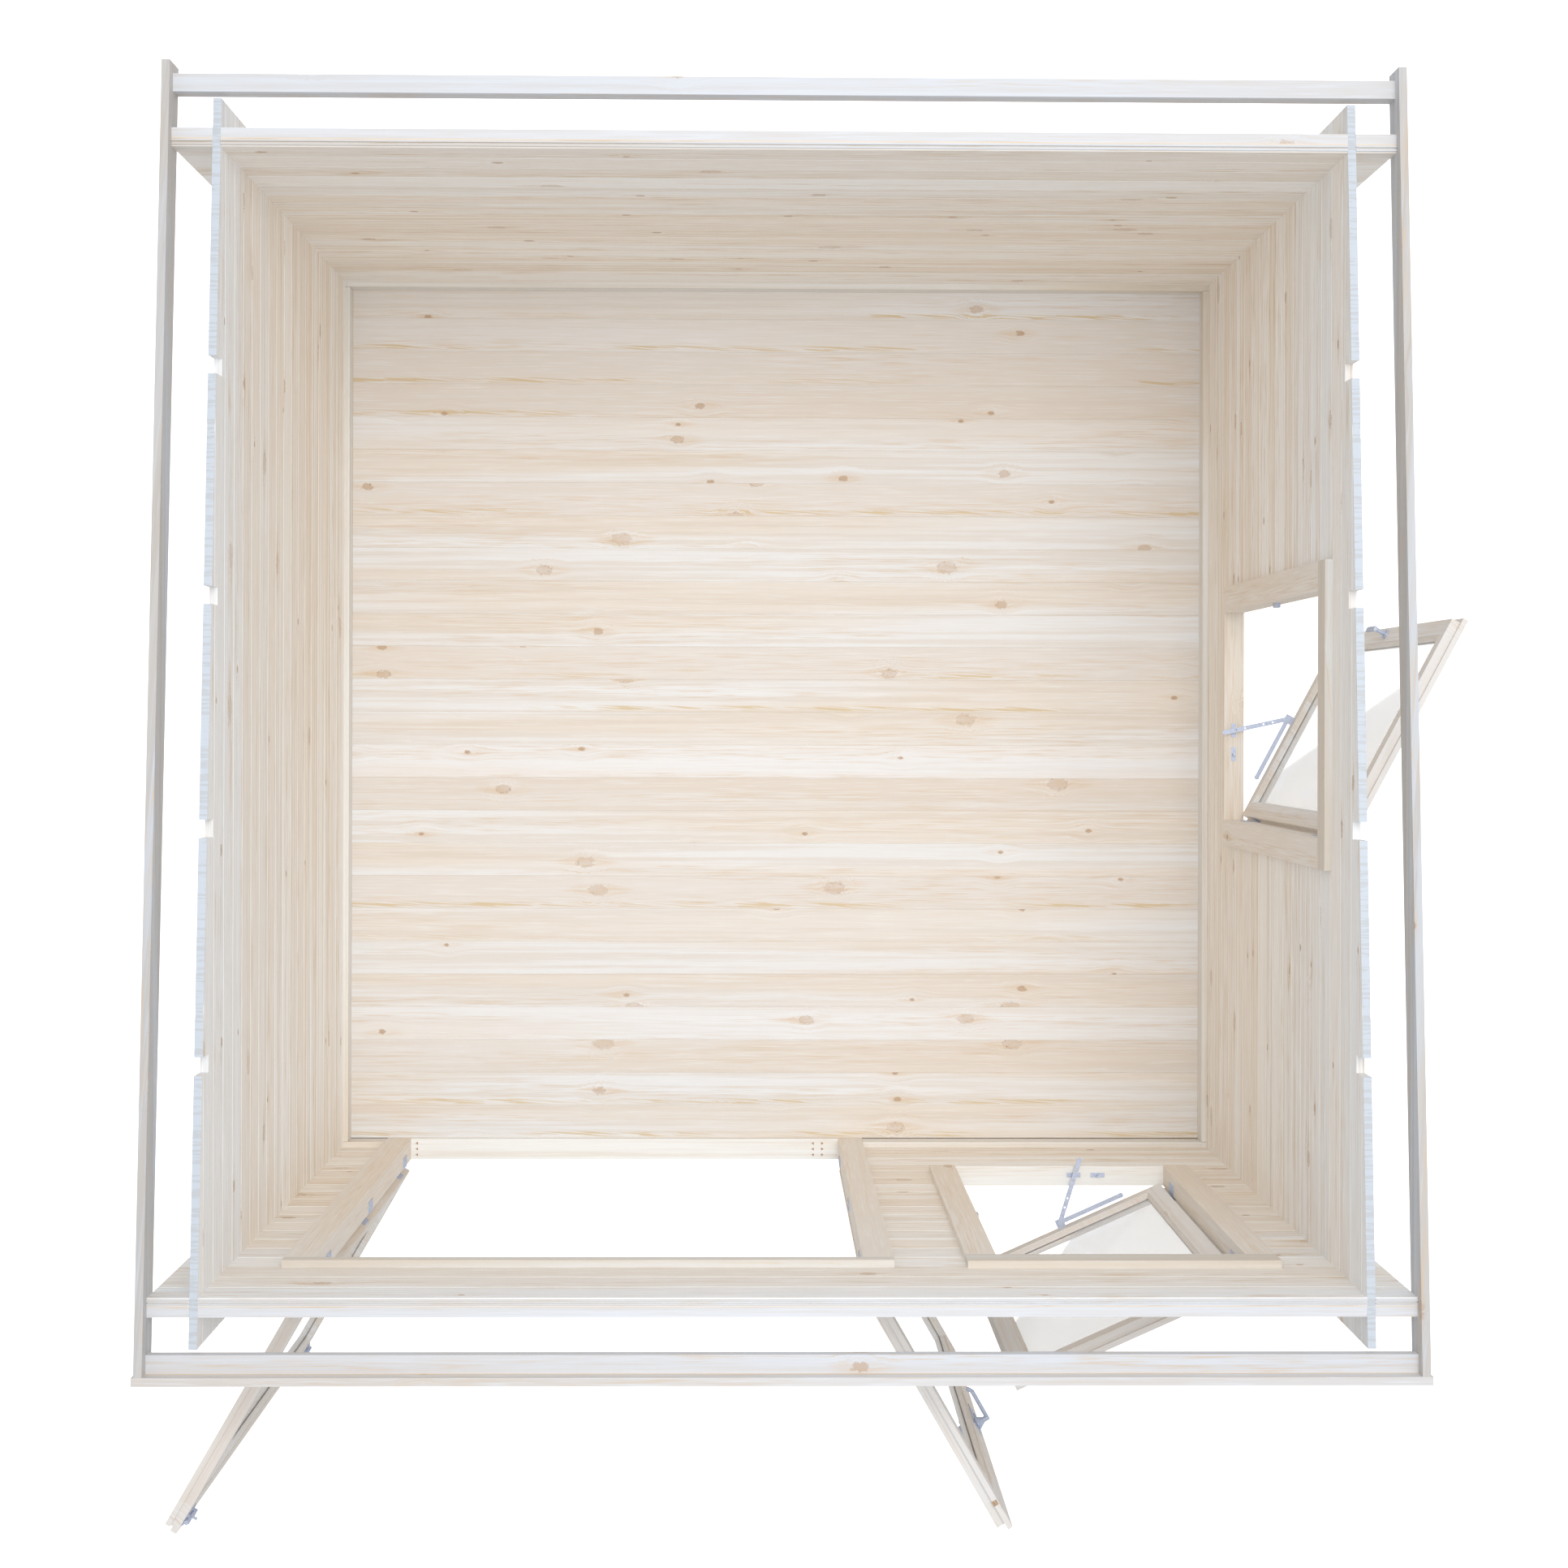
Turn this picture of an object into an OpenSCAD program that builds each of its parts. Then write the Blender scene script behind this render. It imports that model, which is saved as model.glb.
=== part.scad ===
// Log cabin with a single-pitch roof line, shown before its purlins and roof boards are laid.
// X runs left to right, Y runs from the front to the back, Z is up.
// The origin is under the middle of the room, on the ground.

/* [Cabin] */
// Room width between the side walls
inner_w = 2880; // [2700:10:3600]
// Room depth between the front and back walls
inner_d = 2880; // [2700:10:3600]
// Thickness of a wall log
log_t = 21; // [17:1:28]
// Height that one log covers
course_h = 114; // [95:1:136]
// Log courses in the back wall
back_courses = 17.5; // [17.5:1:18.5]
// Log courses in the front wall
front_courses = 19.5; // [19.5:1:21.5]
// Length of a log end past the corner crossing
log_end = 104; // [80:1:150]
// Depth of the V groove at a log joint
groove_d = 2.5; // [1:0.5:4]

/* [Base and floor] */
// Height of a foundation bearer
bearer_h = 45; // [35:1:80]
// Width of a foundation bearer
bearer_w = 60; // [45:1:80]
// Number of bearers, an odd count so that one lies under the middle
bearer_count = 7; // [5:2:9]
// Thickness of the floor boards
floor_t = 16; // [14:1:28]
// Height of the skirting
skirting_h = 70; // [30:1:90]
// Thickness of the skirting
skirting_t = 18; // [10:1:22]

/* [Roof edge] */
// Thickness of the eaves plates outside the front and back walls
plate_t = 27; // [20:1:30]
// Height of the eaves plates
plate_h = 57; // [40:1:90]
// Thickness of a fascia board
fascia_t = 21; // [14:1:28]
// Height of a fascia board
fascia_h = 96; // [80:1:140]
// How far a fascia stands above the wall tops
fascia_rise = 36; // [20:1:50]
// Overhang of the side fascias behind the back wall
back_over = 195; // [170:1:260]
// Overhang of the side fascias before the front wall
front_over = 163; // [155:1:240]
// Width of the two eaves beams
beam_w = 46; // [36:1:50]
// Depth of the back eaves beam
back_beam_h = 57; // [40:1:60]
// Depth of the front eaves beam
front_beam_h = 28; // [20:1:60]
// Distance from the back end of the side fascias to the back beam
beam_setback = 27; // [10:1:40]
// Width of a purlin notch
purlin_w = 46; // [36:1:60]
// Depth of a purlin notch
purlin_h = 68; // [50:1:80]
// Distance between purlin notches
purlin_pitch = 586; // [500:1:620]
// Number of purlins
purlin_count = 4; // [2:2:4]

/* [Door] */
// Middle of the doorway from the middle of the room
door_x = -504; // [-540:1:-480]
// Clear width between the door jambs
door_w = 1430; // [1180:1:1480]
// Thickness of a jamb
jamb_t = 42; // [30:1:50]
// Thickness of the door head
head_t = 29; // [20:1:60]
// Depth of the door frame from the inside to the outside
door_frame_d = 68; // [60:1:80]
// Height of the threshold above the floor
threshold_rise = 20; // [10:1:40]
// Width of the inside casings
casing_w = 80; // [50:1:85]
// Thickness of the inside casings
casing_t = 20; // [12:1:24]
// Height of the casing over the door
door_casing_h = 36; // [30:1:85]
// Opening angle of both door leaves as stored
door_angle = 120; // [100:1:125]

/* [Windows] */
// Middle of the front window from the middle of the room
window_x = 890; // [860:1:900]
// Clear width between window jambs
window_w = 658; // [560:1:680]
// Depth of the window frames
window_frame_d = 62; // [56:1:80]
// Thickness of the sill piece
sill_t = 23; // [20:1:50]
// Thickness of the window head
window_head_t = 41; // [30:1:60]
// Settling gap between a window head and the logs over it
settle_gap = 20; // [10:1:30]
// Opening angle of the front window
front_window_angle = 24; // [15:1:35]
// Opening angle of the side window
side_window_angle = 28; // [15:1:35]

/* [Leaves and sashes] */
// Thickness of a door leaf or window sash
leaf_t = 38; // [34:1:45]
// Thickness of the lip that laps over the frame
lip_t = 14.5; // [12:0.5:18]
// How far the lip laps over the frame
lip_lap = 8; // [6:1:8]
// Running gap around leaves and sashes
leaf_gap = 5; // [5:0.5:6]
// Width of the stiles and upper rails of a door leaf
stile_w = 70; // [65:1:100]
// Height of the bottom rail of a door leaf
bottom_rail_h = 110; // [80:1:200]
// Width of the stiles and rails of a window sash
sash_w = 47; // [45:1:70]
// Thickness of the glass
glass_t = 4; // [3:1:6]
// Lap of the two door leaves on each other
meet_lap = 14; // [10:1:16]

/* [Fittings] */
// Radius of a hinge barrel
barrel_r = 6.5; // [5:0.5:7]
// Height of a hinge
hinge_h = 80; // [60:1:100]
// Radius of a hinge pin
pin_r = 4; // [3:0.5:4.5]
// Radial running clearance of a hinge pin
pin_clear = 0.06; // [0.02:0.01:0.1]
// Height of the door lever above the floor
lever_z = 1050; // [950:10:1100]
// Length of the lever
lever_len = 105; // [90:1:130]
// Length of a window stay
stay_len = 205; // [190:1:230]

/* [Hidden] */
$fn = 32;

spruce = "#e8d9bd";
spruce_light = "#ece3d2";
zinc = "#b9bec8";
pane = [0.86, 0.88, 0.88, 0.35];

// Wall planes
room_x = inner_w / 2;
room_y = inner_d / 2;
out_x = room_x + log_t;
out_y = room_y + log_t;
log_x = out_x + log_end;
log_y = out_y + log_end;

// Heights
wall_base = bearer_h;
floor_top = bearer_h + floor_t;
back_top = wall_base + back_courses * course_h;
front_top = wall_base + front_courses * course_h;
roof_slope = (front_top - back_top) / (2 * out_y);
// Height of the roof line over a place along Y
function roof_z(y) = back_top + (out_y - y) * roof_slope;
side_base = wall_base;
half_log = course_h / 2;
quarter_log = course_h / 4;
groove_h = 2 * groove_d;
// Lengths that stand clear of a cut
over_cut = 400;
side_top = roof_z(-log_y) + course_h;

// Door and window openings in the logs, in whole courses
opening_courses = 16;
sill_courses = 4;
front_open_z = wall_base + half_log + opening_courses * course_h;
front_sill_z = wall_base + half_log + sill_courses * course_h;
side_open_z = wall_base + opening_courses * course_h;
side_sill_z = wall_base + sill_courses * course_h;
door_open = [door_x - door_w / 2 - jamb_t, door_x + door_w / 2 + jamb_t];
window_half = window_w / 2 + jamb_t;
window_open = [window_x - window_half, window_x + window_half];
// Faces of the frames, measured outward from the inside of a wall
door_frame_out = door_frame_d - casing_t;
window_frame_out = window_frame_d - casing_t;
door_head_z = front_open_z - head_t;
// Underside of a window head below its opening in the logs
function window_head_low(open_z) = open_z - settle_gap - window_head_t;
threshold_z = floor_top + threshold_rise;

// Roof edge lines
fascia_back_y = out_y + back_over;
fascia_front_y = -out_y - front_over;
back_beam_y = fascia_back_y - beam_setback;

// Leaf section: s runs from the hinge reveal to the free side, w from the inner to the outer face
body_t = leaf_t - lip_t;
leaf_sink = body_t - leaf_gap;
hinge_off = lip_lap + barrel_r + 0.5;
hinge_w = leaf_sink + barrel_r + 0.5;
plate_thick = 1.5;
meet_s = door_w / 2;
door_leaf_z = [threshold_z + leaf_gap, door_head_z - leaf_gap];
pane_w = (leaf_t - glass_t) / 2;

module box(lo, hi) {
    translate(lo) cube(hi - lo);
}

// Heights of the log joints between two heights, counted up from a first joint
function joints(z0, z1, first) =
    [for (k = [0:30]) let (z = first + k * course_h) if (z > z0 + groove_h && z < z1 - groove_h) z];

// Section of a log wall: thickness by height, with a V groove on both faces at each joint
module log_section(z0, z1, first) {
    js = joints(z0, z1, first);
    n = len(js);
    inner = [for (z = js) each [[0, z - groove_h / 2], [groove_d, z], [0, z + groove_h / 2]]];
    outer = [for (i = [n - 1:-1:0]) let (z = js[i])
        each [[log_t, z + groove_h / 2], [log_t - groove_d, z], [log_t, z - groove_h / 2]]];
    polygon(concat([[0, z0]], inner, [[0, z1], [log_t, z1]], outer, [[log_t, z0]]));
}

// A stretch of front or back wall: x from x0 to x1, its inner side at y0
module log_wall_x(x0, x1, y0, z0, z1) {
    translate([x0, y0, 0]) rotate([90, 0, 90])
        linear_extrude(x1 - x0) log_section(z0, z1, wall_base + half_log);
}

// A stretch of side wall: y from y0 to y1, its lower side at x0
module log_wall_y(y0, y1, x0, z0, z1) {
    translate([x0, y1, 0]) rotate([90, 0, 0])
        linear_extrude(y1 - y0) log_section(z0, z1, side_base + course_h);
}

// Cuts the corner notches that let the side logs through a front or back wall
module side_log_notches(x0, y0, z1) {
    for (z = [side_base + quarter_log : course_h : z1])
        translate([x0, y0 - 1, z]) cube([log_t, log_t + 2, half_log]);
}

// Cuts the corner notches that let the front and back logs through a side wall
module cross_log_notches(x0, y0, z1) {
    translate([x0 - 1, y0, side_base - 1]) cube([log_t + 2, log_t, quarter_log + 1]);
    for (z = [side_base + 3 * quarter_log : course_h : z1 - half_log])
        translate([x0 - 1, y0, z]) cube([log_t + 2, log_t, half_log]);
}

// Everything above the roof line
module above_roof(x0, x1) {
    translate([x0, 0, 0]) rotate([90, 0, 90]) linear_extrude(x1 - x0)
        polygon([
            [-log_y - over_cut, roof_z(-log_y - over_cut)],
            [log_y + over_cut, roof_z(log_y + over_cut)],
            [log_y + over_cut, side_top + over_cut],
            [-log_y - over_cut, side_top + over_cut]
        ]);
}

// Places of the purlin notches along Y
function purlin_y(i) = (i - (purlin_count - 1) / 2) * purlin_pitch;

module purlin_notches(x0) {
    for (i = [0 : purlin_count - 1])
        translate([x0 - 1, purlin_y(i) - purlin_w / 2, roof_z(purlin_y(i)) - purlin_h])
            cube([log_t + 2, purlin_w, over_cut]);
}

// A stretch of side wall with its sloping top, notches and crossings
module side_wall(x0, y0, y1, z0) {
    difference() {
        log_wall_y(y0, y1, x0, z0, side_top);
        above_roof(x0 - 1, x0 + log_t + 1);
        purlin_notches(x0);
        if (y1 > room_y) cross_log_notches(x0, room_y, back_top);
        if (y0 < -room_y) cross_log_notches(x0, -out_y, front_top);
    }
}

// Bearers from front to back, with noggings between their ends under the front and back walls
module bearers() {
    pitch = (2 * out_x - bearer_w) / (bearer_count - 1);
    joint = 1;
    color(spruce) {
        for (i = [0 : bearer_count - 1])
            translate([-out_x + i * pitch, -out_y, 0]) cube([bearer_w, 2 * out_y, bearer_h]);
        for (i = [0 : bearer_count - 2])
            for (y = [-out_y, out_y - bearer_w])
                translate([-out_x + i * pitch + bearer_w + joint, y, 0])
                    cube([pitch - bearer_w - 2 * joint, bearer_w, bearer_h]);
    }
}

// The floor stops at the inside of the door frame
module floor_boards() {
    color(spruce_light)
        box([-room_x, -room_y + casing_t, bearer_h], [room_x, room_y, floor_top]);
}

// Skirting round the room in separate lengths, which stops at the door casings
module skirting() {
    joint = 1;
    in_x = room_x - skirting_t;
    in_y = room_y - skirting_t;
    z0 = floor_top;
    z1 = floor_top + skirting_h;
    door_side = [door_x - door_w / 2 - casing_w, door_x + door_w / 2 + casing_w];
    color(spruce_light) {
        box([-room_x, in_y, z0], [room_x, room_y, z1]);
        for (x = [-room_x, in_x])
            box([x, -in_y + joint, z0], [x + skirting_t, in_y - joint, z1]);
        box([-room_x, -room_y, z0], [door_side[0] - joint, -in_y, z1]);
        box([door_side[1] + joint, -room_y, z0], [room_x, -in_y, z1]);
    }
}

module back_wall() {
    color(spruce) difference() {
        log_wall_x(-log_x, log_x, room_y, wall_base, back_top);
        for (x = [-out_x, room_x]) side_log_notches(x, room_y, back_top);
    }
}

module left_wall() {
    color(spruce) side_wall(-out_x, -log_y, log_y, side_base);
}

module right_wall_back() {
    color(spruce) side_wall(room_x, window_half, log_y, side_base);
}

module right_wall_front() {
    color(spruce) side_wall(room_x, -log_y, -window_half, side_base);
}

module right_wall_under_window() {
    color(spruce) log_wall_y(-window_half, window_half, room_x, side_base, side_sill_z);
}

module right_wall_over_window() {
    color(spruce) side_wall(room_x, -window_half, window_half, side_open_z);
}

module front_wall_left() {
    color(spruce) difference() {
        log_wall_x(-log_x, door_open[0], -out_y, wall_base, front_open_z);
        side_log_notches(-out_x, -out_y, front_open_z);
    }
}

module front_wall_pier() {
    color(spruce) log_wall_x(door_open[1], window_open[0], -out_y, wall_base, front_open_z);
}

module front_wall_right() {
    color(spruce) difference() {
        log_wall_x(window_open[1], log_x, -out_y, wall_base, front_open_z);
        side_log_notches(room_x, -out_y, front_open_z);
    }
}

module front_wall_under_window() {
    color(spruce) log_wall_x(window_open[0], window_open[1], -out_y, wall_base, front_sill_z);
}

// The logs over the door and the window run the whole width
module front_wall_top() {
    color(spruce) difference() {
        log_wall_x(-log_x, log_x, -out_y, front_open_z, front_top);
        for (x = [-out_x, room_x]) side_log_notches(x, -out_y, front_top);
    }
}

// Plates outside the front and back walls, cut where the side walls cross
module eaves_plates() {
    spans = [[-log_x, -out_x], [-room_x, room_x], [out_x, log_x]];
    color(spruce_light)
        for (s = spans) {
            box([s[0], out_y, back_top - plate_h], [s[1], out_y + plate_t, back_top]);
            box([s[0], -out_y - plate_t, front_top - plate_h], [s[1], -out_y, front_top]);
        }
}

// Side fascias follow the roof line on the log ends
module side_fascias() {
    low = fascia_rise - fascia_h;
    color(spruce_light)
        for (x = [-log_x - fascia_t, log_x])
            translate([x, 0, 0]) rotate([90, 0, 90]) linear_extrude(fascia_t)
                polygon([
                    [fascia_front_y, roof_z(fascia_front_y) + low],
                    [fascia_back_y, roof_z(fascia_back_y) + low],
                    [fascia_back_y, roof_z(fascia_back_y) + fascia_rise],
                    [fascia_front_y, roof_z(fascia_front_y) + fascia_rise]
                ]);
}

module front_fascia() {
    reach = log_x + fascia_t + 6;
    z1 = roof_z(fascia_front_y) + fascia_rise;
    color(spruce_light)
        box([-reach, fascia_front_y - fascia_t, z1 - fascia_h], [reach, fascia_front_y, z1]);
}

// Beams between the side fascias, at the front and at the back
module eaves_beams() {
    back_z = roof_z(back_beam_y);
    front_z = roof_z(fascia_front_y + beam_w);
    color(spruce_light) {
        box([-log_x, back_beam_y - beam_w, back_z - back_beam_h], [log_x, back_beam_y, back_z]);
        box([-log_x, fascia_front_y, front_z - front_beam_h], [log_x, fascia_front_y + beam_w, front_z]);
    }
}

// Puts wall coordinates (x along the wall, y outward from its inside) on the front wall
module on_front_wall() {
    mirror([0, 1, 0]) translate([0, room_y, 0]) children();
}

// The same for the right wall, with x running towards the front
module on_right_wall() {
    translate([room_x, 0, 0]) rotate([0, 0, -90]) children();
}

module door_jambs() {
    color(spruce_light) on_front_wall()
        for (x = [door_open[0], door_open[1] - jamb_t])
            box([x, 0, wall_base], [x + jamb_t, door_frame_out, front_open_z]);
}

module door_head() {
    color(spruce_light) on_front_wall()
        box([door_open[0] + jamb_t, 0, door_head_z],
            [door_open[1] - jamb_t, door_frame_out, front_open_z]);
}

module door_threshold() {
    color(spruce_light) on_front_wall()
        box([door_open[0] + jamb_t, -casing_t, wall_base],
            [door_open[1] - jamb_t, door_frame_out, threshold_z]);
}

// Casings stand inside, over the jambs and the log ends beside them
module casing_pair(x, clear_w, z0, z1) {
    for (x0 = [x - clear_w / 2 - casing_w, x + clear_w / 2])
        box([x0, -casing_t, z0], [x0 + casing_w, 0, z1]);
}

module side_casings() {
    color(spruce_light) {
        on_front_wall() casing_pair(door_x, door_w, wall_base, door_head_z);
        on_front_wall() casing_pair(window_x, window_w, front_sill_z, window_head_low(front_open_z));
        on_right_wall() casing_pair(0, window_w, side_sill_z, window_head_low(side_open_z));
    }
}

module top_casing(x, clear_w, z0, h) {
    reach = clear_w / 2 + casing_w;
    box([x - reach, -casing_t, z0], [x + reach, 0, z0 + h]);
}

module top_casings() {
    color(spruce_light) {
        on_front_wall() top_casing(door_x, door_w, door_head_z, door_casing_h);
        on_front_wall() top_casing(window_x, window_w, window_head_low(front_open_z), casing_w);
        on_right_wall() top_casing(0, window_w, window_head_low(side_open_z), casing_w);
    }
}

module window_jambs(sill_z, open_z) {
    for (x = [-window_half, window_half - jamb_t])
        box([x, 0, sill_z], [x + jamb_t, window_frame_out, open_z - settle_gap]);
}

module window_head_and_sill(sill_z, open_z) {
    half = window_w / 2;
    box([-half, -casing_t, sill_z], [half, window_frame_out, sill_z + sill_t]);
    box([-half, 0, window_head_low(open_z)], [half, window_frame_out, open_z - settle_gap]);
}

// Swings a leaf about its hinge pin
module swung(angle) {
    translate([-hinge_off, hinge_w, 0]) rotate([0, 0, angle])
        translate([hinge_off, -hinge_w, 0]) children();
}

// One bar of a leaf: an inner layer and an outer layer that may reach further as a lip
module leaf_bar(inner_s, outer_s, inner_z, outer_z, split) {
    box([inner_s[0], 0, inner_z[0]], [inner_s[1], split, inner_z[1]]);
    box([outer_s[0], split, outer_z[0]], [outer_s[1], leaf_t, outer_z[1]]);
}

lip = leaf_gap + lip_lap;
left_tip = [meet_s - leaf_gap / 2 + meet_lap / 2, meet_s - leaf_gap / 2 - meet_lap / 2];
right_tip = [left_tip[1], left_tip[0]];
left_glass_s = [leaf_gap + stile_w, left_tip[1] - stile_w];
right_glass_s = [leaf_gap + stile_w, right_tip[0] - stile_w];
door_lip_z = [door_leaf_z[0], door_leaf_z[1] + lip];
door_glass_z = [door_leaf_z[0] + bottom_rail_h, door_leaf_z[1] - stile_w];
lever_s = right_tip[0] - stile_w / 2;
lever_h = floor_top + lever_z;

module door_stiles(glass_s, tip, split) {
    leaf_bar([leaf_gap, glass_s[0]], [-lip_lap, glass_s[0]], door_leaf_z, door_lip_z, body_t);
    leaf_bar([glass_s[1], tip[0]], [glass_s[1], tip[1]], door_leaf_z, door_leaf_z, split);
    box([glass_s[1], body_t, door_leaf_z[0]], [tip[1], leaf_t, door_lip_z[1]]);
}

module door_rails(glass_s) {
    bottom_z = [door_leaf_z[0], door_glass_z[0]];
    leaf_bar(glass_s, glass_s, bottom_z, bottom_z, body_t);
    leaf_bar(glass_s, glass_s, [door_glass_z[1], door_leaf_z[1]], [door_glass_z[1], door_lip_z[1]], body_t);
}

module glass_pane(glass_s, glass_z) {
    box([glass_s[0], pane_w, glass_z[0]], [glass_s[1], pane_w + glass_t, glass_z[1]]);
}

// Places a left or right door leaf, swung open
module left_leaf() {
    on_front_wall() translate([door_x - door_w / 2, door_frame_out - leaf_sink, 0])
        swung(door_angle) children();
}

module right_leaf() {
    on_front_wall() translate([door_x + door_w / 2, door_frame_out - leaf_sink, 0])
        mirror([1, 0, 0]) swung(door_angle) children();
}

// Heights of the three hinges of a door leaf, from the floor
hinge_heights = [170, 900, 1630];

// Fixed half of a hinge: pin, lower barrel and the plate on the jamb
module hinge_pintle(z) {
    leg = 34;
    translate([-hinge_off, hinge_w, z - hinge_h / 2]) {
        cylinder(r = barrel_r, h = hinge_h / 2);
        cylinder(r = pin_r, h = hinge_h - 6);
    }
    box([-hinge_off, leaf_sink, z - hinge_h / 2], [plate_thick, leaf_sink + plate_thick, z]);
    box([0, leaf_sink - leg, z - hinge_h / 2], [plate_thick, leaf_sink + plate_thick, z + hinge_h / 2]);
}

// Moving half of a hinge: upper barrel with its bore and the plate on the leaf
module hinge_socket(z) {
    leg = 16;
    difference() {
        union() {
            translate([-hinge_off, hinge_w, z + 0.5]) cylinder(r = barrel_r, h = hinge_h / 2);
            box([-hinge_off, body_t - plate_thick, z + 0.5], [leaf_gap, body_t, z + hinge_h / 2]);
            box([leaf_gap - plate_thick, body_t - leg, z - hinge_h / 2], [leaf_gap, body_t, z + hinge_h / 2]);
        }
        translate([-hinge_off, hinge_w, z]) cylinder(r = pin_r + pin_clear, h = hinge_h / 2 - 4);
    }
}

module door_hinge_pintles() {
    color(zinc) on_front_wall()
        for (h = hinge_heights) {
            translate([door_x - door_w / 2, door_frame_out - leaf_sink, 0])
                hinge_pintle(floor_top + h);
            translate([door_x + door_w / 2, door_frame_out - leaf_sink, 0]) mirror([1, 0, 0])
                hinge_pintle(floor_top + h);
        }
}

// A barrel bolt on the inside of a leaf, its rod pointing up or down
module barrel_bolt(s, z, dir) {
    plate_l = 90;
    rod_r = 6;
    box([s - 17, -3, z - plate_l / 2], [s + 17, 0, z + plate_l / 2]);
    translate([s, -8, z - plate_l / 2 - (dir < 0 ? 12 : 0)]) cylinder(r = rod_r, h = plate_l + 12);
    for (e = [-1, 1])
        box([s - 9, -15, z + e * 30 - 7], [s + 9, -2, z + e * 30 + 7]);
    translate([s, -8, z]) rotate([90, 0, 0]) cylinder(r = 3.5, h = 18);
}

module left_door_stiles() { color(spruce_light) left_leaf() door_stiles(left_glass_s, left_tip, leaf_sink); }
module left_door_rails() { color(spruce_light) left_leaf() door_rails(left_glass_s); }
module left_door_glass() { color(pane) left_leaf() glass_pane(left_glass_s, door_glass_z); }

module left_door_fittings() {
    bolt_s = left_tip[1] - 24;
    color(zinc) left_leaf() {
        for (h = hinge_heights) hinge_socket(floor_top + h);
        barrel_bolt(bolt_s, door_leaf_z[1] - 60, 1);
        barrel_bolt(bolt_s, door_leaf_z[0] + 64, -1);
    }
}

module right_door_stiles() {
    color(spruce_light) right_leaf() difference() {
        door_stiles(right_glass_s, right_tip, body_t);
        translate([lever_s, -1, lever_h]) rotate([-90, 0, 0]) cylinder(r = 12, h = leaf_t + 2);
    }
}
module right_door_rails() { color(spruce_light) right_leaf() door_rails(right_glass_s); }
module right_door_glass() { color(pane) right_leaf() glass_pane(right_glass_s, door_glass_z); }

// Lever plates on both faces and the moving hinge halves
module right_door_fittings() {
    plate_thick_lock = 3;
    color(zinc) right_leaf() {
        for (h = hinge_heights) hinge_socket(floor_top + h);
        difference() {
            for (w = [-plate_thick_lock, leaf_t])
                box([lever_s - 20, w, lever_h - 150], [lever_s + 20, w + plate_thick_lock, lever_h + 50]);
            translate([lever_s, -over_cut / 2, lever_h]) rotate([-90, 0, 0]) cylinder(r = 9, h = over_cut);
        }
    }
}

// Two levers on one spindle
module right_door_lever() {
    reach = 44;
    spindle_r = 8;
    grip_r = 6;
    color(zinc) right_leaf() translate([lever_s, 0, lever_h]) {
        translate([0, -reach, 0]) rotate([-90, 0, 0]) cylinder(r = spindle_r, h = leaf_t + 2 * reach);
        for (w = [-reach + grip_r, leaf_t + reach - grip_r])
            translate([0, w, 0]) rotate([0, -90, 0]) cylinder(r = grip_r, h = lever_len);
    }
}

module front_window_place() { on_front_wall() translate([window_x, 0, 0]) children(); }
module side_window_place() { on_right_wall() children(); }

// Sash coordinates: hinge reveal at the far side of the window, swung open
module sash(angle) {
    translate([window_w / 2, window_frame_out - leaf_sink, 0]) mirror([1, 0, 0]) swung(angle) children();
}

sash_glass_s = [leaf_gap + sash_w, window_w - leaf_gap - sash_w];
function sash_z(sill_z, open_z) =
    [sill_z + sill_t + leaf_gap, window_head_low(open_z) - leaf_gap];

module sash_stiles(z) {
    lip_z = [z[0] - lip, z[1] + lip];
    leaf_bar([leaf_gap, sash_glass_s[0]], [-lip_lap, sash_glass_s[0]], z, lip_z, body_t);
    leaf_bar([sash_glass_s[1], window_w - leaf_gap], [sash_glass_s[1], window_w + lip_lap], z, lip_z, body_t);
}

module sash_rails(z) {
    leaf_bar(sash_glass_s, sash_glass_s, [z[0], z[0] + sash_w], [z[0] - lip, z[0] + sash_w], body_t);
    leaf_bar(sash_glass_s, sash_glass_s, [z[1] - sash_w, z[1]], [z[1] - sash_w, z[1] + lip], body_t);
}

// Place of the stay's elbow in window coordinates for a sash angle
elbow_s = 342;
elbow_off = 18;
function elbow(angle) =
    let (a = elbow_s + hinge_off, b = -elbow_off - hinge_w)
    [window_w / 2 + hinge_off - (a * cos(angle) - b * sin(angle)),
     window_frame_out - leaf_sink + hinge_w + a * sin(angle) + b * cos(angle)];

// A flat bar between two places, with round ends a little wider than the bar
module flat_bar(a, b, z, w, t) {
    d = b - a;
    end_r = w / 2 + 1;
    translate([a[0], a[1], z]) rotate([0, 0, atan2(d[1], d[0])]) {
        translate([0, -w / 2, 0]) cube([norm(d), w, t]);
        cylinder(r = end_r, h = t);
        translate([norm(d), 0, 0]) cylinder(r = end_r, h = t);
    }
}

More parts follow.
